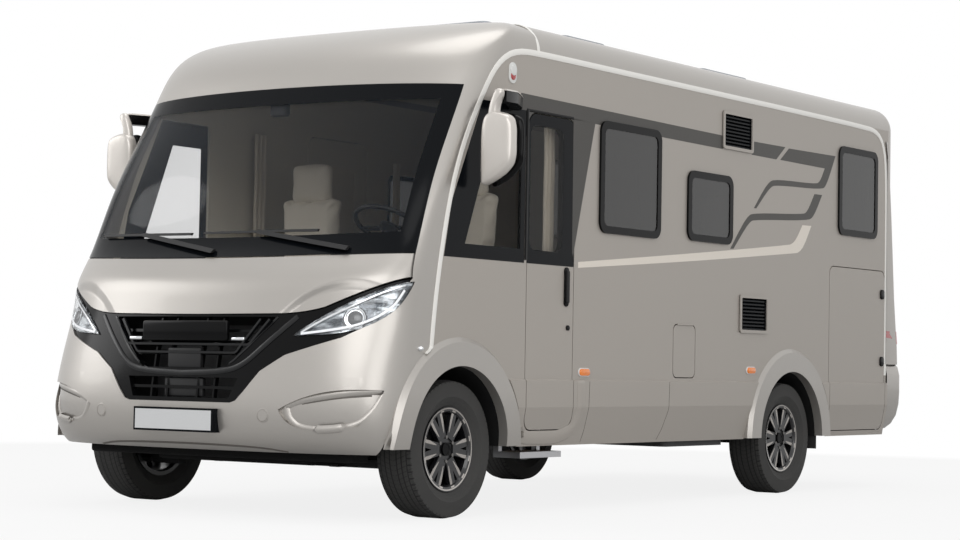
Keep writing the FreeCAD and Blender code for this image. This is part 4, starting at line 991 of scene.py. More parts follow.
# %% [markdown]
# Wheel bolts and a plain centre cap are too fine for CAD. Six bolts sit on a 130 mm circle, each a
# short cylinder with six sides, set where a ray finds the rim. The cap's face is inset and pushed in
# a little.

# %% Bolts and caps
BOLT_CIRCLE = 0.065
BOLT_RADIUS = 0.0105
CAP_RADIUS, CAP_SEAT = 0.036, 0.046
steel_bolt = metal("steel_bolt", srgb(120, 118, 116), 0.35, EVEN)


def disc(bm, place, radius, depth, sides, side, dish=0.0):
    """A short cylinder along X whose face may be dished."""
    matrix = Matrix.Translation(place) @ Matrix.Rotation(math.radians(90 * side), 4, "Y")
    made = bmesh.ops.create_cone(bm, cap_ends=True, segments=sides, radius1=radius, radius2=radius,
                                 depth=depth, matrix=matrix)["verts"]
    faces = {f for v in made for f in v.link_faces}
    outer = max(faces, key=lambda f: f.calc_center_median().x * side)
    if dish:
        bmesh.ops.inset_region(bm, faces=[outer], thickness=radius * 0.25, depth=0.0)
        bmesh.ops.inset_region(bm, faces=[outer], thickness=radius * 0.06, depth=-dish)


for axle, hub_y, _ in AXLES:
    for side, word in SIDES:
        rim, wheel = (f"rim_{axle}_{word}",), f"wheel_{axle}_{word}"
        bm = bmesh.new()
        for i in range(SPOKES):
            at = TURN * (i + 0.5) / SPOKES
            y, z = hub_y + BOLT_CIRCLE * math.cos(at), HUB_Z + BOLT_CIRCLE * math.sin(at)
            spot, _ = from_side(y, z, rim, side)
            disc(bm, spot, BOLT_RADIUS, 0.024, 6, side)
        finished(f"bolts_{axle}_{word}", bm, steel_bolt, wheel)
        bm = bmesh.new()
        spot, _ = from_side(hub_y + CAP_SEAT, HUB_Z, rim, side)
        disc(bm, (spot.x + side * 0.002, hub_y, HUB_Z), CAP_RADIUS, 0.02, 40, side, 0.003)
        finished(f"hub_cap_{axle}_{word}", bm, gloss_black, wheel)

# %% [markdown]
# ## Headlamps
# Behind each clear lens sit a bright bowl and a round projector with a glass eye, which is set on a
# ray through the lens and a few millimetres behind its face. A light strip runs along the lower edge
# of the lens and a bright lid along the upper one, both laid on by rays from the front.

# %% Lamp internals
lamp_glow = Finish("lamp_strip")
soft = lamp_glow.noise(40.0, 2.0)
lamp_glow.set(Base_Color=lamp_glow.blend(soft, srgb(232, 236, 240), srgb(250, 250, 252)),
              Roughness=0.25)
eye_glass = moulded("eye_glass", srgb(44, 47, 52), 0.08, 30.0, 1.0, 0.2)


def turned(bm, profile, place, towards, steps=32):
    """A profile of (radius, height) spun about an axis that points towards the front."""
    turn = Vector(towards).normalized().to_track_quat("Z", "Y").to_matrix().to_4x4()
    matrix = Matrix.Translation(place) @ turn
    verts, edges = chain(bm, [(r, 0, h) for r, h in profile])
    bmesh.ops.spin(bm, geom=verts + edges, cent=(0, 0, 0), axis=(0, 0, 1), steps=steps, angle=TURN,
                   use_merge=True)
    spun = {v for f in bm.faces for v in f.verts if v.tag is False}
    bmesh.ops.transform(bm, matrix=matrix, verts=list(spun))
    for v in spun:
        v.tag = True
    bmesh.ops.remove_doubles(bm, verts=bm.verts, dist=1e-5)


def turned_piece(name, profile, place, towards, finish):
    bm = bmesh.new()
    turned(bm, profile, place, towards)
    return finished(name, bm, finish)


LENS_DEPTH = 0.0045
LAMP_CENTRE = (0.996, 1.051)
LAMP_RING = [(0.0, -0.011), (0.060, -0.011), (0.062, -0.004), (0.056, 0.0), (0.050, -0.001),
             (0.046, -0.006), (0.0, -0.007)]
LAMP_EYE = [(0.0, -0.0005), (0.014, -0.001), (0.030, -0.003), (0.042, -0.0065), (0.0, -0.008)]
LAMP_LOW = [(0.735, 0.966), (0.880, 0.984), (1.000, 1.008), (1.090, 1.052), (1.150, 1.120),
            (1.172, 1.200)]
LAMP_HIGH = [(0.735, 0.972), (0.850, 1.048), (1.000, 1.126), (1.172, 1.225)]
for side, word in SIDES:
    spot, normal = from_front(side * LAMP_CENTRE[0], LAMP_CENTRE[1], "headlamp_lenses")
    base = spot - normal * LENS_DEPTH
    turned_piece("lamp_ring_" + word, LAMP_RING, base, normal, lamp_chrome)
    turned_piece("lamp_eye_" + word, LAMP_EYE, base, normal, eye_glass)
for side, word in SIDES:
    low, high = (mirrored(soften(path), side) for path in (LAMP_LOW, LAMP_HIGH))
    strip("lamp_band_" + word, low, 0.013, 0.0015, lamp_glow, place=on_front)
    strip("lamp_lid_" + word, high, 0.010, 0.0015, lamp_chrome, place=on_front)
print("lamp internals placed")

# %% [markdown]
# ## Grille details
# Two dark blades bend down across the mouth of the real grille. A blank dark bar stands in its middle
# with a small bright wing on each side, two square sensor covers sit below, and a gloss ridge follows
# the edge of the mouth. Blocks are bevelled cubes, and the blades are swept along a bent path.

# %% Grille details
def block(name, left, right, low, high, front_y, depth, finish, bevel=0.006):
    """A block with rounded edges that faces the front."""
    bm = bmesh.new()
    bmesh.ops.create_cube(bm, size=1.0)
    bmesh.ops.scale(bm, verts=bm.verts, vec=(right - left, depth, high - low))
    middle = ((left + right) / 2, front_y + depth / 2, (low + high) / 2)
    bmesh.ops.translate(bm, verts=bm.verts, vec=middle)
    bmesh.ops.bevel(bm, geom=bm.edges[:], offset=bevel, segments=3, profile=0.5, affect="EDGES",
                    material=-1)
    return finished(name, bm, finish)


RIDGE = [(0.693, 1.055), (0.550, 0.921), (0.408, 0.793), (0.275, 0.761), (0.0, 0.751)]
MOUTH = [(0.578, 1.052), (0.308, 0.768), (0.10, 0.762)]
bar_y = from_front(0.0, 0.755, "grille")[0].y
BLADES = [[(0.545, 1.038), (0.430, 0.905), (0.0, 0.905)],
          [(0.490, 1.038), (0.350, 0.862), (0.0, 0.862)]]
ridge_black = moulded("ridge_black", srgb(9, 10, 12), 0.22, 60.0, 0.0, 0.1, 0.35)


def blade_path(half):
    """A path from one end to the other, as deep into the nose as the nose curves there."""
    rows = spread(half + [(-u, v) for u, v in half[-2::-1]], 60)
    return [Vector((u, bar_y + 0.020 + 0.13 * u * u + 0.10 * max(v - 0.90, 0), v)) for u, v in rows]


for i, half in enumerate(BLADES):
    bm = bmesh.new()
    sweep(bm, scaled(DOME, 0.016, 0.012), frames_on(blade_path(half), Vector((0, -1, 0))))
    finished(f"grille_blade_{i}", bm, ridge_black)
block("grille_name_bar", -0.300, 0.300, 0.922, 1.030, bar_y + 0.004, 0.034, gloss_black, 0.012)
for side, word in SIDES:
    low, high = sorted((side * 0.318, side * 0.408))
    block("grille_wing_" + word, low, high, 0.926, 0.944, bar_y + 0.020, 0.020, lamp_chrome)
    strip("mouth_ridge_" + word, mirrored(soften(MOUTH), side), 0.012, 0.005, ridge_black,
          place=on_front)
    strip("frame_ridge_" + word, mirrored(soften(RIDGE), side), 0.030, 0.006, ridge_black,
          place=on_front)
block("sensor_upper", -0.115, 0.115, 0.778, 0.884, bar_y + 0.012, 0.030, grain_black, 0.006)
block("sensor_lower", -0.135, 0.135, 0.626, 0.726, bar_y + 0.012, 0.030, grain_black, 0.006)
print("grille details placed, bar at y", round(bar_y, 3))

# %% [markdown]
# ## Bumper and nose details
# The fog lamp recesses have a raised lip that catches the light, so each is a soft ring on the bumper
# with a thin line of painted shadow inside, in the dark grey of the skirt joints. A round sensor cover
# sits on each side of the plate, and a small lamp stands on each fender. Round parts are spun from half
# of their section.

# %% Bumper details
# A dark grey for the real joints of the skirt, which also paints shade: the shadow line in each fog lamp
# recess and the chin under the bumper.
joint_and_shade_grey = moulded("joint_and_shade_grey", srgb(84, 80, 75), 0.6, 300.0)
SOFT_LIP = [(-0.5, -0.5), (-0.38, 0.25), (-0.15, 0.85), (0.1, 1.0), (0.34, 0.6), (0.5, -0.5)]
POD_LIP = [(0.700, 0.590), (0.770, 0.622), (0.980, 0.662), (1.140, 0.680), (1.150, 0.664),
           (1.118, 0.560), (1.052, 0.492), (0.900, 0.470), (0.770, 0.480), (0.715, 0.530),
           (0.700, 0.590)]
POD_SHADOW = [(0.790, 0.606), (0.980, 0.641), (1.110, 0.654)]
SENSOR_COVER = [(0.0, 0.0025), (0.029, 0.002), (0.031, -0.002), (0.033, -0.002), (0.034, 0.0015),
                (0.037, 0.0005), (0.038, -0.004), (0.0, -0.004)]
FENDER_LAMP = [(0.0, 0.018), (0.008, 0.017), (0.013, 0.010), (0.015, 0.0), (0.020, -0.001),
               (0.021, -0.005), (0.0, -0.005)]
for side, word in SIDES:
    lip, shadow = (mirrored(soften(path), side) for path in (POD_LIP, POD_SHADOW))
    ring("pod_lip_" + word, lip, 0.046, 0.011, nose_paint, place=on_front, count=110, shape=SOFT_LIP)
    # A thin dark strip of painted shadow along the top, inside the lip.
    strip("pod_shadow_" + word, shadow, 0.012, 0.0012, joint_and_shade_grey, place=on_front, count=40)
    turned_piece("sensor_cover_" + word, SENSOR_COVER, *on_front(side * 0.573, 0.540), nose_paint)
    fender = from_side(-2.720, 0.900, ("front_cap",), side)
    turned_piece("fender_lamp_" + word, FENDER_LAMP, *fender, lamp_chrome)
print("bumper details placed")

# %% [markdown]
# ## Mirrors
# A mirror on this coach hangs from a short arm like a leaf. Its painted shell is softly domed, so it
# starts from a flat outline that is inset and pushed forward twice, and a subdivision surface rounds
# the rest. A black rim with the glass in it closes the back, and a black bracket carries the arm to
# the pillar.

# %% Mirror shells
LEAF = [(1.272, 2.105), (1.271, 1.960), (1.272, 1.800), (1.284, 1.778), (1.312, 1.782),
        (1.420, 1.834), (1.470, 1.890), (1.480, 1.930), (1.480, 2.105), (1.466, 2.145),
        (1.430, 2.166), (1.350, 2.184), (1.296, 2.168)]
NECK = [(1.300, 2.060), (1.300, 2.150), (1.312, 2.225), (1.345, 2.296), (1.366, 2.306),
        (1.398, 2.296), (1.400, 2.272), (1.372, 2.230), (1.364, 2.180), (1.366, 2.060)]
mirror_paint = paint("mirror_paint", srgb(198, 193, 187), 0.34, 0.45, 0.25, 0.05)


def leaf(side, y, outline=LEAF, bm=None):
    """One flat face with the outline, and the bmesh that it lies in."""
    bm = bm or bmesh.new()
    verts, _ = chain(bm, [(side * u, y, v) for u, v in outline])
    bm.edges.new((verts[-1], verts[0]))
    return bm, bmesh.ops.contextual_create(bm, geom=verts)["faces"][0]


def pushed(bm, face, y):
    """Carries a face along Y to a new place and gives the moved face back."""
    made = bmesh.ops.extrude_face_region(bm, geom=[face])["geom"]
    for vert in (g for g in made if isinstance(g, bmesh.types.BMVert)):
        vert.co.y = y
    return next(g for g in made if isinstance(g, bmesh.types.BMFace))


def drawn_in(bm, face, thickness, y=None):
    """Insets a face and may carry its middle along Y."""
    bmesh.ops.inset_region(bm, faces=[face], thickness=thickness, depth=0.0)
    for vert in face.verts if y else ():
        vert.co.y = y


for side, word in SIDES:
    bm, face = leaf(side, -2.236)
    front = pushed(bm, face, -2.312)
    drawn_in(bm, front, 0.010, -2.330)
    drawn_in(bm, front, 0.016, -2.343)
    _, face = leaf(side, -2.262, NECK, bm)
    drawn_in(bm, pushed(bm, face, -2.300), 0.012, -2.318)
    shell = finished("mirror_shell_" + word, bm, mirror_paint, flat=60.0)
    bm, face = leaf(side, -2.238)
    drawn_in(bm, pushed(bm, face, -2.196), 0.012)
    rim = finished("mirror_rim_" + word, bm, gloss_black, flat=60.0)
    bm, face = leaf(side, -2.199)
    drawn_in(bm, pushed(bm, face, -2.195), 0.004)
    middle = Matrix.Translation((side * -1.376, 0, -1.975))
    bmesh.ops.scale(bm, verts=bm.verts, vec=(0.84, 1.0, 0.92), space=middle)
    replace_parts(finished("mirror_pane_" + word, bm, mirror_silver), "mirror_glasses")
    for piece in (shell, rim):
        smooth = piece.modifiers.new("rounded", "SUBSURF")
        smooth.levels = smooth.render_levels = 3
        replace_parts(piece, "mirrors")
print("mirror shells rounded")

# %% [markdown]
# The arm reaches back from the shell and bends in to the pillar. It is a square section swept along
# four places, in black, with a painted cover on its top.

# %% Mirror arms
ARM = ((1.362, -2.268, 2.262), (1.345, -2.140, 2.266), (1.275, -1.990, 2.262), (1.196, -1.890, 2.262))
ARM_SECTION = [(0.036, 0.030), (-0.036, 0.030), (-0.036, -0.030), (0.036, -0.030)]
COVER_SECTION = [(0.040, 0.029), (-0.040, 0.029), (-0.034, 0.038), (0.034, 0.038)]
for side, word in SIDES:
    frames = frames_on([Vector((side * u, v, w)) for u, v, w in ARM], Vector((0, 0, 1)))
    for name, section, finish in (("mirror_arm_cover_", COVER_SECTION, mirror_paint),
                                  ("mirror_bracket_", ARM_SECTION, gloss_black)):
        bm = bmesh.new()
        sweep(bm, section, frames)
        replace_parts(finished(name + word, bm, finish), "mirrors")

# %% [markdown]
# ## Fittings on the sides
# Handles, locks, latches and side lamps are small rounded blocks that stand on a panel. A cube is
# made flat on the panel, its corners are bevelled along X first and then its outer rim, as a moulded
# part is.

# %% Plates on a side panel
PLATE_SINK = 0.004


def plate_on(name, y, z, wide, high, rise, finish, side=1, body="coach", corner=0.4):
    """A rounded plate that stands on the side at a place, as wide and high as given."""
    spot, _ = on_side(y, z, side)
    bm = bmesh.new()
    bmesh.ops.create_cube(bm, size=1.0)
    bmesh.ops.scale(bm, verts=bm.verts, vec=(rise + PLATE_SINK, wide, high))
    along = [e for e in bm.edges if abs((e.verts[0].co - e.verts[1].co).normalized().x) > 0.9]
    bmesh.ops.bevel(bm, geom=along, offset=min(wide, high) * corner, segments=5, profile=0.5,
                    affect="EDGES", material=-1)
    face = max(bm.faces, key=lambda f: f.calc_center_median().x * side)
    bmesh.ops.bevel(bm, geom=list(face.edges), offset=rise * 0.3, segments=3, profile=0.5,
                    affect="EDGES", material=-1)
    bmesh.ops.translate(bm, verts=bm.verts, vec=spot + Vector((side * (rise - PLATE_SINK) / 2, 0, 0)))
    return finished(name, bm, finish, body)


print("plates can be set on the sides")

# %% [markdown]
# Two amber lamps stand in pale bezels low on each side, and a red and clear marker sits high behind
# the cab. A door's handle is a grained grip over a gloss base, and it rides on its own door, as do
# locks and latches.

# %% Side lamps, handles and locks
for side, word in SIDES:
    for place, y, z in (("front", -1.115, 0.790), ("rear", 0.926, 0.818)):
        plate_on(f"side_lamp_bezel_{place}_{word}", y, z, 0.124, 0.050, 0.005, milky_white, side,
                 corner=0.49)
        plate_on(f"side_lamp_{place}_{word}", y, z, 0.108, 0.040, 0.012, amber_lens, side, corner=0.49)
    plate_on("marker_base_" + word, -1.905, 2.440, 0.072, 0.118, 0.006, milky_white, side, corner=0.49)
    plate_on("marker_red_" + word, -1.905, 2.430, 0.044, 0.060, 0.011, red_lens, side, corner=0.49)
    plate_on("marker_clear_" + word, -1.905, 2.455, 0.056, 0.062, 0.014, milky_white, side, corner=0.49)
    garage = "garage_door_" + word
    for place, z in (("upper", 1.385), ("lower", 0.900)):
        plate_on(f"garage_latch_{place}_{word}", 2.925, z, 0.060, 0.070, 0.010, gloss_black, side,
                 garage)
for door, side, fittings in (
    ("driver_door", 1, (("handle_base", -1.320, 1.276, 0.046, 0.225, 0.008, gloss_black),
                        ("handle_grip", -1.320, 1.276, 0.024, 0.190, 0.022, grain_black),
                        ("lock", -1.297, 1.042, 0.036, 0.030, 0.006, gloss_black))),
    ("entry_door", -1, (("handle_base", -0.730, 1.240, 0.050, 0.200, 0.008, gloss_black),
                        ("handle_grip", -0.730, 1.240, 0.024, 0.170, 0.022, grain_black),
                        ("lock", -0.730, 1.080, 0.034, 0.034, 0.006, gloss_black)))):
    for part, *measures in fittings:
        plate_on(f"{door}_{part}", *measures, side, door, 0.48)
plate_on("service_lock", 0.141, 0.870, 0.050, 0.075, 0.008, gloss_black, 1, "service_flap", 0.4)
print("side fittings placed")

# %% [markdown]
# ## Seals and outlines
# The small service flap has a dark rubber seal round it, a few millimetres wide, so it is a thin ring
# that lies on the panel and rides with the flap. Two more seals stand behind the cab's fixed panes,
# and a gloss header closes the frame of the driver's door at the top.

# %% Seals
ring("seal_service_left", rounded(-0.072, 0.172, 0.780, 1.079, 0.045), 0.006, 0.0022, liner_black,
     body="service_flap", count=120)
for side, word in SIDES:
    strip("cab_seal_" + word, [(-1.7425, 1.410), (-1.7425, 2.250)], 0.025, 0.004, gloss_black,
          side=side, count=12)
strip("door_header", [(-1.752, 2.250), (-1.268, 2.250)], 0.016, 0.003, gloss_black, count=12)
print("seals laid")

# %% [markdown]
# ## The cab
# Two captain's seats are the largest thing that the glass shows. Each is a pad, a back and a head
# rest, puffed up from a plain block by a short cloth run with pressure, because upholstery is a skin
# drawn over foam.

# %% Upholstery
seat_cloth = Finish("seat_cloth")
weave = seat_cloth.noise(900.0, 2.0)
wear = seat_cloth.noise(4.0, 4.0)
seat_cloth.set(Base_Color=seat_cloth.blend(wear, srgb(206, 198, 182), srgb(226, 218, 204)),
               Roughness=0.85, Sheen_Weight=0.3, Normal=seat_cloth.bump(weave, 0.12, 0.0004))
SEAT_X, SEAT_Y = 0.580, -1.390
CUSHION_EDGE, FOAM_FILL, VOXEL = 0.035, 0.6, 0.012
PUFF_PRESSURE, PUFF_FRAMES = 4.0, 12


def cushion(name, low, high):
    """A padded block: bevelled, remeshed evenly and puffed by pressure."""
    size = [b - a for a, b in zip(low, high)]
    bm = bmesh.new()
    bmesh.ops.create_cube(bm, size=1.0)
    bmesh.ops.scale(bm, verts=bm.verts, vec=[s * 0.90 for s in size])
    bmesh.ops.bevel(bm, geom=bm.edges[:], offset=CUSHION_EDGE, segments=4, profile=0.5, affect="EDGES",
                    material=-1)
    bmesh.ops.translate(bm, verts=bm.verts, vec=[(a + b) / 2 for a, b in zip(low, high)])
    piece = finished(name, bm, seat_cloth, "coach", 60.0)
    bpy.context.view_layer.objects.active = piece
    remesh = piece.modifiers.new("even", "REMESH")
    remesh.mode, remesh.voxel_size = "VOXEL", VOXEL
    bpy.ops.object.modifier_apply(modifier=remesh.name)
    cloth = piece.modifiers.new("skin", "CLOTH")
    cloth.settings.use_pressure = True
    cloth.settings.uniform_pressure_force = PUFF_PRESSURE
    cloth.settings.effector_weights.gravity = 0.0
    for frame_number in range(1, PUFF_FRAMES + 1):
        scene.frame_set(frame_number)
    bpy.ops.object.modifier_apply(modifier=cloth.name)
    scene.frame_set(1)
    for vert in piece.data.vertices:
        for axis in range(3):
            vert.co[axis] = min(max(vert.co[axis], low[axis]), high[axis])
    piece.data.materials.clear()
    piece.data.materials.append(seat_cloth.material)
    piece.data.shade_smooth()
    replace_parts(piece, "cab_seats")


for side, word in SIDES:
    mid = side * SEAT_X
    cushion("seat_pad_" + word, (mid - 0.255, SEAT_Y - 0.540, 1.040),
            (mid + 0.255, SEAT_Y - 0.027, 1.190))
    cushion("seat_back_" + word, (mid - 0.235, SEAT_Y - 0.125, 1.150), (mid + 0.235, SEAT_Y, 1.860))
    cushion("head_rest_" + word, (mid - 0.150, SEAT_Y - 0.120, 1.780),
            (mid + 0.150, SEAT_Y - 0.005, 2.040))
print("seats padded")

# %% [markdown]
# Under each seat stands a moulded plinth, and between the seat and the door hangs a curtain in soft
# pleats. A pleated curtain is a wavy top edge carried down in steps that sway a little, because cloth
# never hangs quite straight. Its cut width is the length of that wave, which is added up as it is
# drawn.

# %% Plinths and curtains
for side, word in SIDES:
    mid = side * SEAT_X
    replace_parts(block("seat_plinth_" + word, mid - 0.20, mid + 0.20, 0.612, 1.036, SEAT_Y - 0.52, 0.46,
                      grain_black, 0.03), "cab_seats")
curtain_cloth = Finish("curtain_cloth")
thread = curtain_cloth.noise(600.0, 2.0, stretch=(1.0, 1.0, 6.0))
shade = curtain_cloth.noise(3.0, 3.0)
curtain_cloth.set(Base_Color=curtain_cloth.blend(shade, srgb(196, 186, 168), srgb(214, 205, 190)),
                  Roughness=0.9, Sheen_Weight=0.2, Normal=curtain_cloth.bump(thread, 0.10, 0.0003))


PLEAT_DEPTH, CLOTH_THICKNESS, CURTAIN_X, RAIL_STEPS = 0.018, 0.0016, 1.085, 10


def curtain(name, side, y0, y1, z0, z1, pleats):
    """Pleats from y0 to y1 beside a window, hung from z1 down to z0."""
    x, count = side * CURTAIN_X, pleats * 12 + 1
    rows = [(x + PLEAT_DEPTH * math.sin(TURN * pleats * i / (count - 1)),
             y0 + (y1 - y0) * i / (count - 1))
            for i in range(count)]
    cut = sum(math.dist(a, b) for a, b in zip(rows, rows[1:]))
    bm = bmesh.new()
    _, edges = chain(bm, [(u, v, z1) for u, v in rows])
    for step in range(RAIL_STEPS):
        fresh, edges = extruded(bm, edges)
        sway = (0.0015 * math.sin(step * 1.3), 0.001 * math.sin(step), (z0 - z1) / RAIL_STEPS)
        bmesh.ops.translate(bm, verts=fresh, vec=sway)
    piece = finished(name, bm, curtain_cloth, "coach", 80.0)
    wall = piece.modifiers.new("cloth", "SOLIDIFY")
    wall.thickness = CLOTH_THICKNESS
    return cut


cuts = []
for side, word in SIDES:
    cuts.append(curtain("cab_curtain_" + word, side, -1.415, -1.300, 1.430, 2.245, 3))
    cuts.append(curtain("cabin_curtain_front_" + word, side, 0.030, 0.110, 1.430, 2.180, 2))
    cuts.append(curtain("cabin_curtain_rear_" + word, side, 0.780, 0.880, 1.430, 2.180, 2))
print("curtains cut", [round(c, 2) for c in cuts])

# %% [markdown]
# The entry door's window is covered by a flat blind, which is stretched inside the door and moves
# with it. It is a grid laid over the glass with 10 to 20 mm to spare on each side, and it ripples
# very slightly.

# %% Blind in the entry door
low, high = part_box("entry_door_glass")
wide, tall = high[1] - low[1] + 0.02, high[2] - low[2] + 0.04
bm = bmesh.new()
bmesh.ops.create_grid(bm, x_segments=24, y_segments=24, size=0.5)
for vert in bm.verts:
    u, v, _ = vert.co
    vert.co = (low[0] + 0.030 + 0.0015 * math.sin(v * 60), (low[1] + high[1]) / 2 + u * wide,
               (low[2] + high[2]) / 2 + v * tall)
blind = finished("entry_door_blind", bm, curtain_cloth, "entry_door")
print("blind cut", round(wide, 3), "by", round(tall, 3))

# %% [markdown]
# The windshield also shows the steering wheel, the hood over the instruments and the housing of a
# camera at the top of the glass. The hood is half a sphere, cut by a plane and squashed. The wheel's
# rim and hub are spun about the column, and three spokes are swept from the hub to the rim.

# %% Cab fittings
hood_z = cast((0.52, -2.20, 3.0), (0, 0, -1), ("dashboard",))[0].z
bm = bmesh.new()
bmesh.ops.create_uvsphere(bm, u_segments=32, v_segments=12, radius=1.0)
everything = bm.verts[:] + bm.edges[:] + bm.faces[:]
bmesh.ops.bisect_plane(bm, geom=everything, plane_co=(0, 0, 0), plane_no=(0, 0, -1), clear_outer=True)
bmesh.ops.holes_fill(bm, edges=bm.edges[:])
bmesh.ops.scale(bm, verts=bm.verts, vec=(0.34, 0.15, 0.215))
bmesh.ops.translate(bm, verts=bm.verts, vec=(0.52, -2.24, hood_z - 0.004))
finished("instrument_hood", bm, grain_black)
wheel_heart, wheel_way = Vector((0.400, -1.960, 1.600)), Vector((0, 0.50, 0.866))
RIM_RADIUS, GRIP_RADIUS = 0.205, 0.014
SPOKE_SECTION = [(0.018, -0.005), (0.018, 0.005), (-0.018, 0.005), (-0.018, -0.005)]
HUB = [(0.0, 0.004), (0.058, 0.0), (0.062, -0.020), (0.030, -0.045), (0.026, -0.330), (0.0, -0.331)]
grip = [(GRIP_RADIUS * math.cos(TURN * i / 12),
         GRIP_RADIUS * math.sin(TURN * i / 12)) for i in range(13)]
bm = bmesh.new()
turned(bm, [(RIM_RADIUS + a, b) for a, b in grip], wheel_heart, wheel_way, 48)
turned(bm, HUB, wheel_heart, wheel_way, 24)
down = wheel_way.cross(Vector((1, 0, 0)))
for arm in (Vector((1, 0, 0)), Vector((-1, 0, 0)), down):
    path = [wheel_heart + arm * reach - wheel_way * 0.010 for reach in (0.045, 0.120, 0.190)]
    sweep(bm, SPOKE_SECTION, frames_on(path, wheel_way))
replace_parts(finished("steering_wheel_rim", bm, grain_black), "steering_wheel")
camera_y = from_front(0.0, 2.275, "windshield")[0].y + 0.030
block("camera_housing", -0.055, 0.055, 2.195, 2.300, camera_y, 0.055, grain_black, 0.012)
print("cab fittings placed, hood at", round(hood_z, 3), "camera housing at y", round(camera_y, 3))

# %% [markdown]
# The skirt is made of several lengths that meet in fine joints. Each joint runs straight down the
# upper face and leans forward where the panel tucks in. The chin under the bumper is a strip of the
# same dark grey, which paints the shade in the recess under the bumper.

# %% Joints and chin
JOINTS = [("front", [(-1.065, 0.738), (-1.073, 0.56), (-1.085, 0.45), (-1.105, 0.385)]),
          ("middle", [(-0.142, 0.738), (-0.148, 0.56), (-0.190, 0.45), (-0.237, 0.385)])]
for side, word in SIDES:
    for place, path in JOINTS:
        strip(f"skirt_joint_{place}_{word}", path, 0.004, 0.0007, joint_and_shade_grey, side=side, count=24)
# The chin strip's dark grey is painted shade of the recess under the bumper.
CHIN = [(-0.66, 0.352), (-0.50, 0.374), (0.0, 0.380), (0.50, 0.374), (0.66, 0.352)]
strip("chin_painted_shade", soften(CHIN), 0.014, 0.002, joint_and_shade_grey, place=on_front)
print("joints and chin placed")

# %% [markdown]
# Round the foot of the driver's door the skirt swells into a soft frame. The nose moulding also goes
# on over the roof's edge as a pale line that marks where the moulded front ends, so it is swept by
# rays that turn from the side to the top round a point inside the roof.

# %% Door surround and roof line
SURROUND = [(-0.5, -0.3), (-0.5, 0.1), (-0.2, 0.8), (0.1, 1.0), (0.4, 0.7), (0.5, -0.3)]
FOOT = [(-1.158, 0.742), (-1.158, 0.415), (-1.790, 0.415), (-1.790, 0.470)]
CAP_LINE_Y, CAP_TURN_X, CAP_TURN_Z, CAP_LOWEST = -1.645, 0.80, 2.30, 2.565
strip("door_surround", soften(FOOT, 3), 0.080, 0.008, wall_paint, count=90, shape=SURROUND)
for side, word in SIDES:
    heart = Vector((side * CAP_TURN_X, CAP_LINE_Y, CAP_TURN_Z))
    angles = np.linspace(0, math.pi / 2, 40)
    ways = [Vector((side * math.cos(angle), 0, math.sin(angle))) for angle in angles]
    round_the_edge = [cast(heart + way * 1.5, -way, ("front_cap", "roof", *WALLS)) for way in ways]
    found = [hit for hit in round_the_edge if hit[0].z > CAP_LOWEST]
    found += [cast((side * (CAP_TURN_X - i * 0.072), CAP_LINE_Y, 4.0), (0, 0, -1),
                   ("front_cap", "roof"))
              for i in range(1, 12)]
    bm = bmesh.new()
    sweep(bm, scaled(DOME, 0.026, 0.003), frames_on(*zip(*found)))
    finished("cap_line_" + word, bm, edge_paint)
print("surround and cap line laid")

# %% [markdown]
# ## Under the coach and at its rear corners
# A black shield closes the engine bay from below, so no floor shows between the bumper and the axle.
# A plain sill carries the foot of each garage opening. Both are blocks, because only their outline is
# ever seen.

# %% Shields
block("under_shield_front", -0.93, 0.93, 0.298, 0.352, -2.955, 0.160, liner_black, 0.015)
block("under_shield", -0.56, 0.56, 0.268, 0.330, -2.800, 0.900, liner_black, 0.020)
for side, word in SIDES:
    bm = bmesh.new()
    bmesh.ops.create_cube(bm, size=1.0)
    bmesh.ops.scale(bm, verts=bm.verts, vec=(0.05, 0.84, 0.10))
    bmesh.ops.translate(bm, verts=bm.verts, vec=(side * 1.115, 2.520, 0.448))
    finished("garage_sill_" + word, bm, liner_black)
print("shields hung")

# %% [markdown]
# The rear bumper and the corner columns are skins whose plan changes with height. Each level is the
# plan at one height, drawn in by its reach, and the edges of one level are extruded to make the next.

# %% Levels of a skin
def corner(wide, back, radius_x, radius_y, steps):
    """A quarter of an ellipse, from the side at wide to the back at back."""
    return [(wide - radius_x + radius_x * math.cos(a), back - radius_y + radius_y * math.sin(a))
            for a in np.linspace(0, math.pi / 2, steps)]


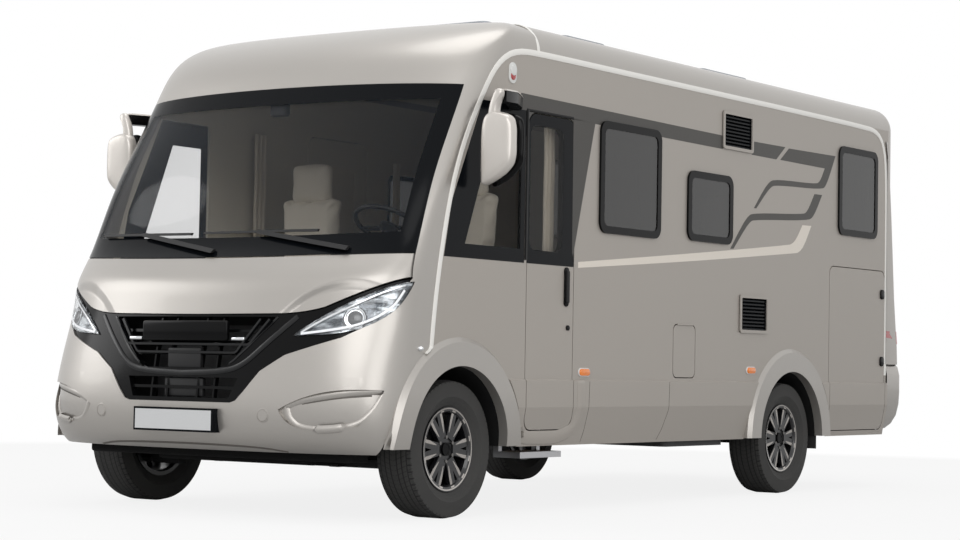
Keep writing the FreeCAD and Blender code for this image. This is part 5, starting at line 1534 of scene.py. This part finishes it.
def shell_between(name, levels, plan, finish):
    """A skin carried up through levels of (height, reach), each with its own plan outline."""
    bm = bmesh.new()
    edges = []
    for height, reach in levels:
        places = [Vector((u, v, height)) for u, v in plan(reach)]
        if not edges:
            _, edges = chain(bm, places)
            continue
        fresh, edges = extruded(bm, edges)
        for vert, place in zip(sorted(fresh, key=lambda v: v.index), places):
            vert.co = place
        bm.verts.index_update()
    return finished(name, bm, finish, flat=50.0)


print("levels ready")

# %% [markdown]
# The bumper wraps round both corners and tucks in at its foot and its top. A column stands on each
# corner of it and leans forward as it rises, and the red lens is a narrow band round the column.

# %% Rear bumper, columns and lenses
REAR_HALF_WIDTH, BUMPER_BACK, BUMPER_FRONT, CORNER = 1.198, 3.297, 3.012, 0.09
COLUMN_CORNER = 0.06
REAR_LEVELS = [(0.405, 0.200), (0.402, 0.120), (0.415, 0.078), (0.450, 0.045), (0.510, 0.018),
               (0.590, 0.004), (0.680, 0.0), (0.800, 0.0), (0.860, 0.010), (0.890, 0.028),
               (0.902, 0.060), (0.904, 0.150)]
COLUMN_LEVELS = [(0.880, 3.236), (1.010, 3.228), (1.150, 3.205), (1.350, 3.175), (1.650, 3.145),
                 (1.950, 3.115), (2.200, 3.085), (2.380, 3.056), (2.500, 3.026)]
LENS_LEVELS = [(1.030, 3.226), (1.030, 3.234), (1.075, 3.226), (1.122, 3.217), (1.122, 3.209)]


def bumper_plan(reach):
    """The bumper's outline seen from above, drawn in by the reach on every side."""
    wide = REAR_HALF_WIDTH - reach
    half = [(wide, BUMPER_FRONT)] + corner(wide, BUMPER_BACK - reach, CORNER, CORNER, 12)
    return half + [(-u, v) for u, v in half[::-1]]


def column_plan(side):
    """Gives a plan: the column's outline seen from above, for how far back it stands."""
    def plan(back):
        turn = corner(REAR_HALF_WIDTH, back, CORNER, COLUMN_CORNER, 10)
        return mirrored([(1.196, 2.992)] + turn + [(0.960, back - 0.004), (0.930, 3.005)], side)
    return plan


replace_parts(shell_between("rear_bumper_shell", REAR_LEVELS, bumper_plan, nose_paint), "rear_bumper")
for side, word in SIDES:
    shell_between("rear_column_" + word, COLUMN_LEVELS, column_plan(side), nose_paint)
    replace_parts(shell_between("tail_lens_" + word, LENS_LEVELS, column_plan(side), red_lens),
                "tail_lamps")
print("rear corners closed")
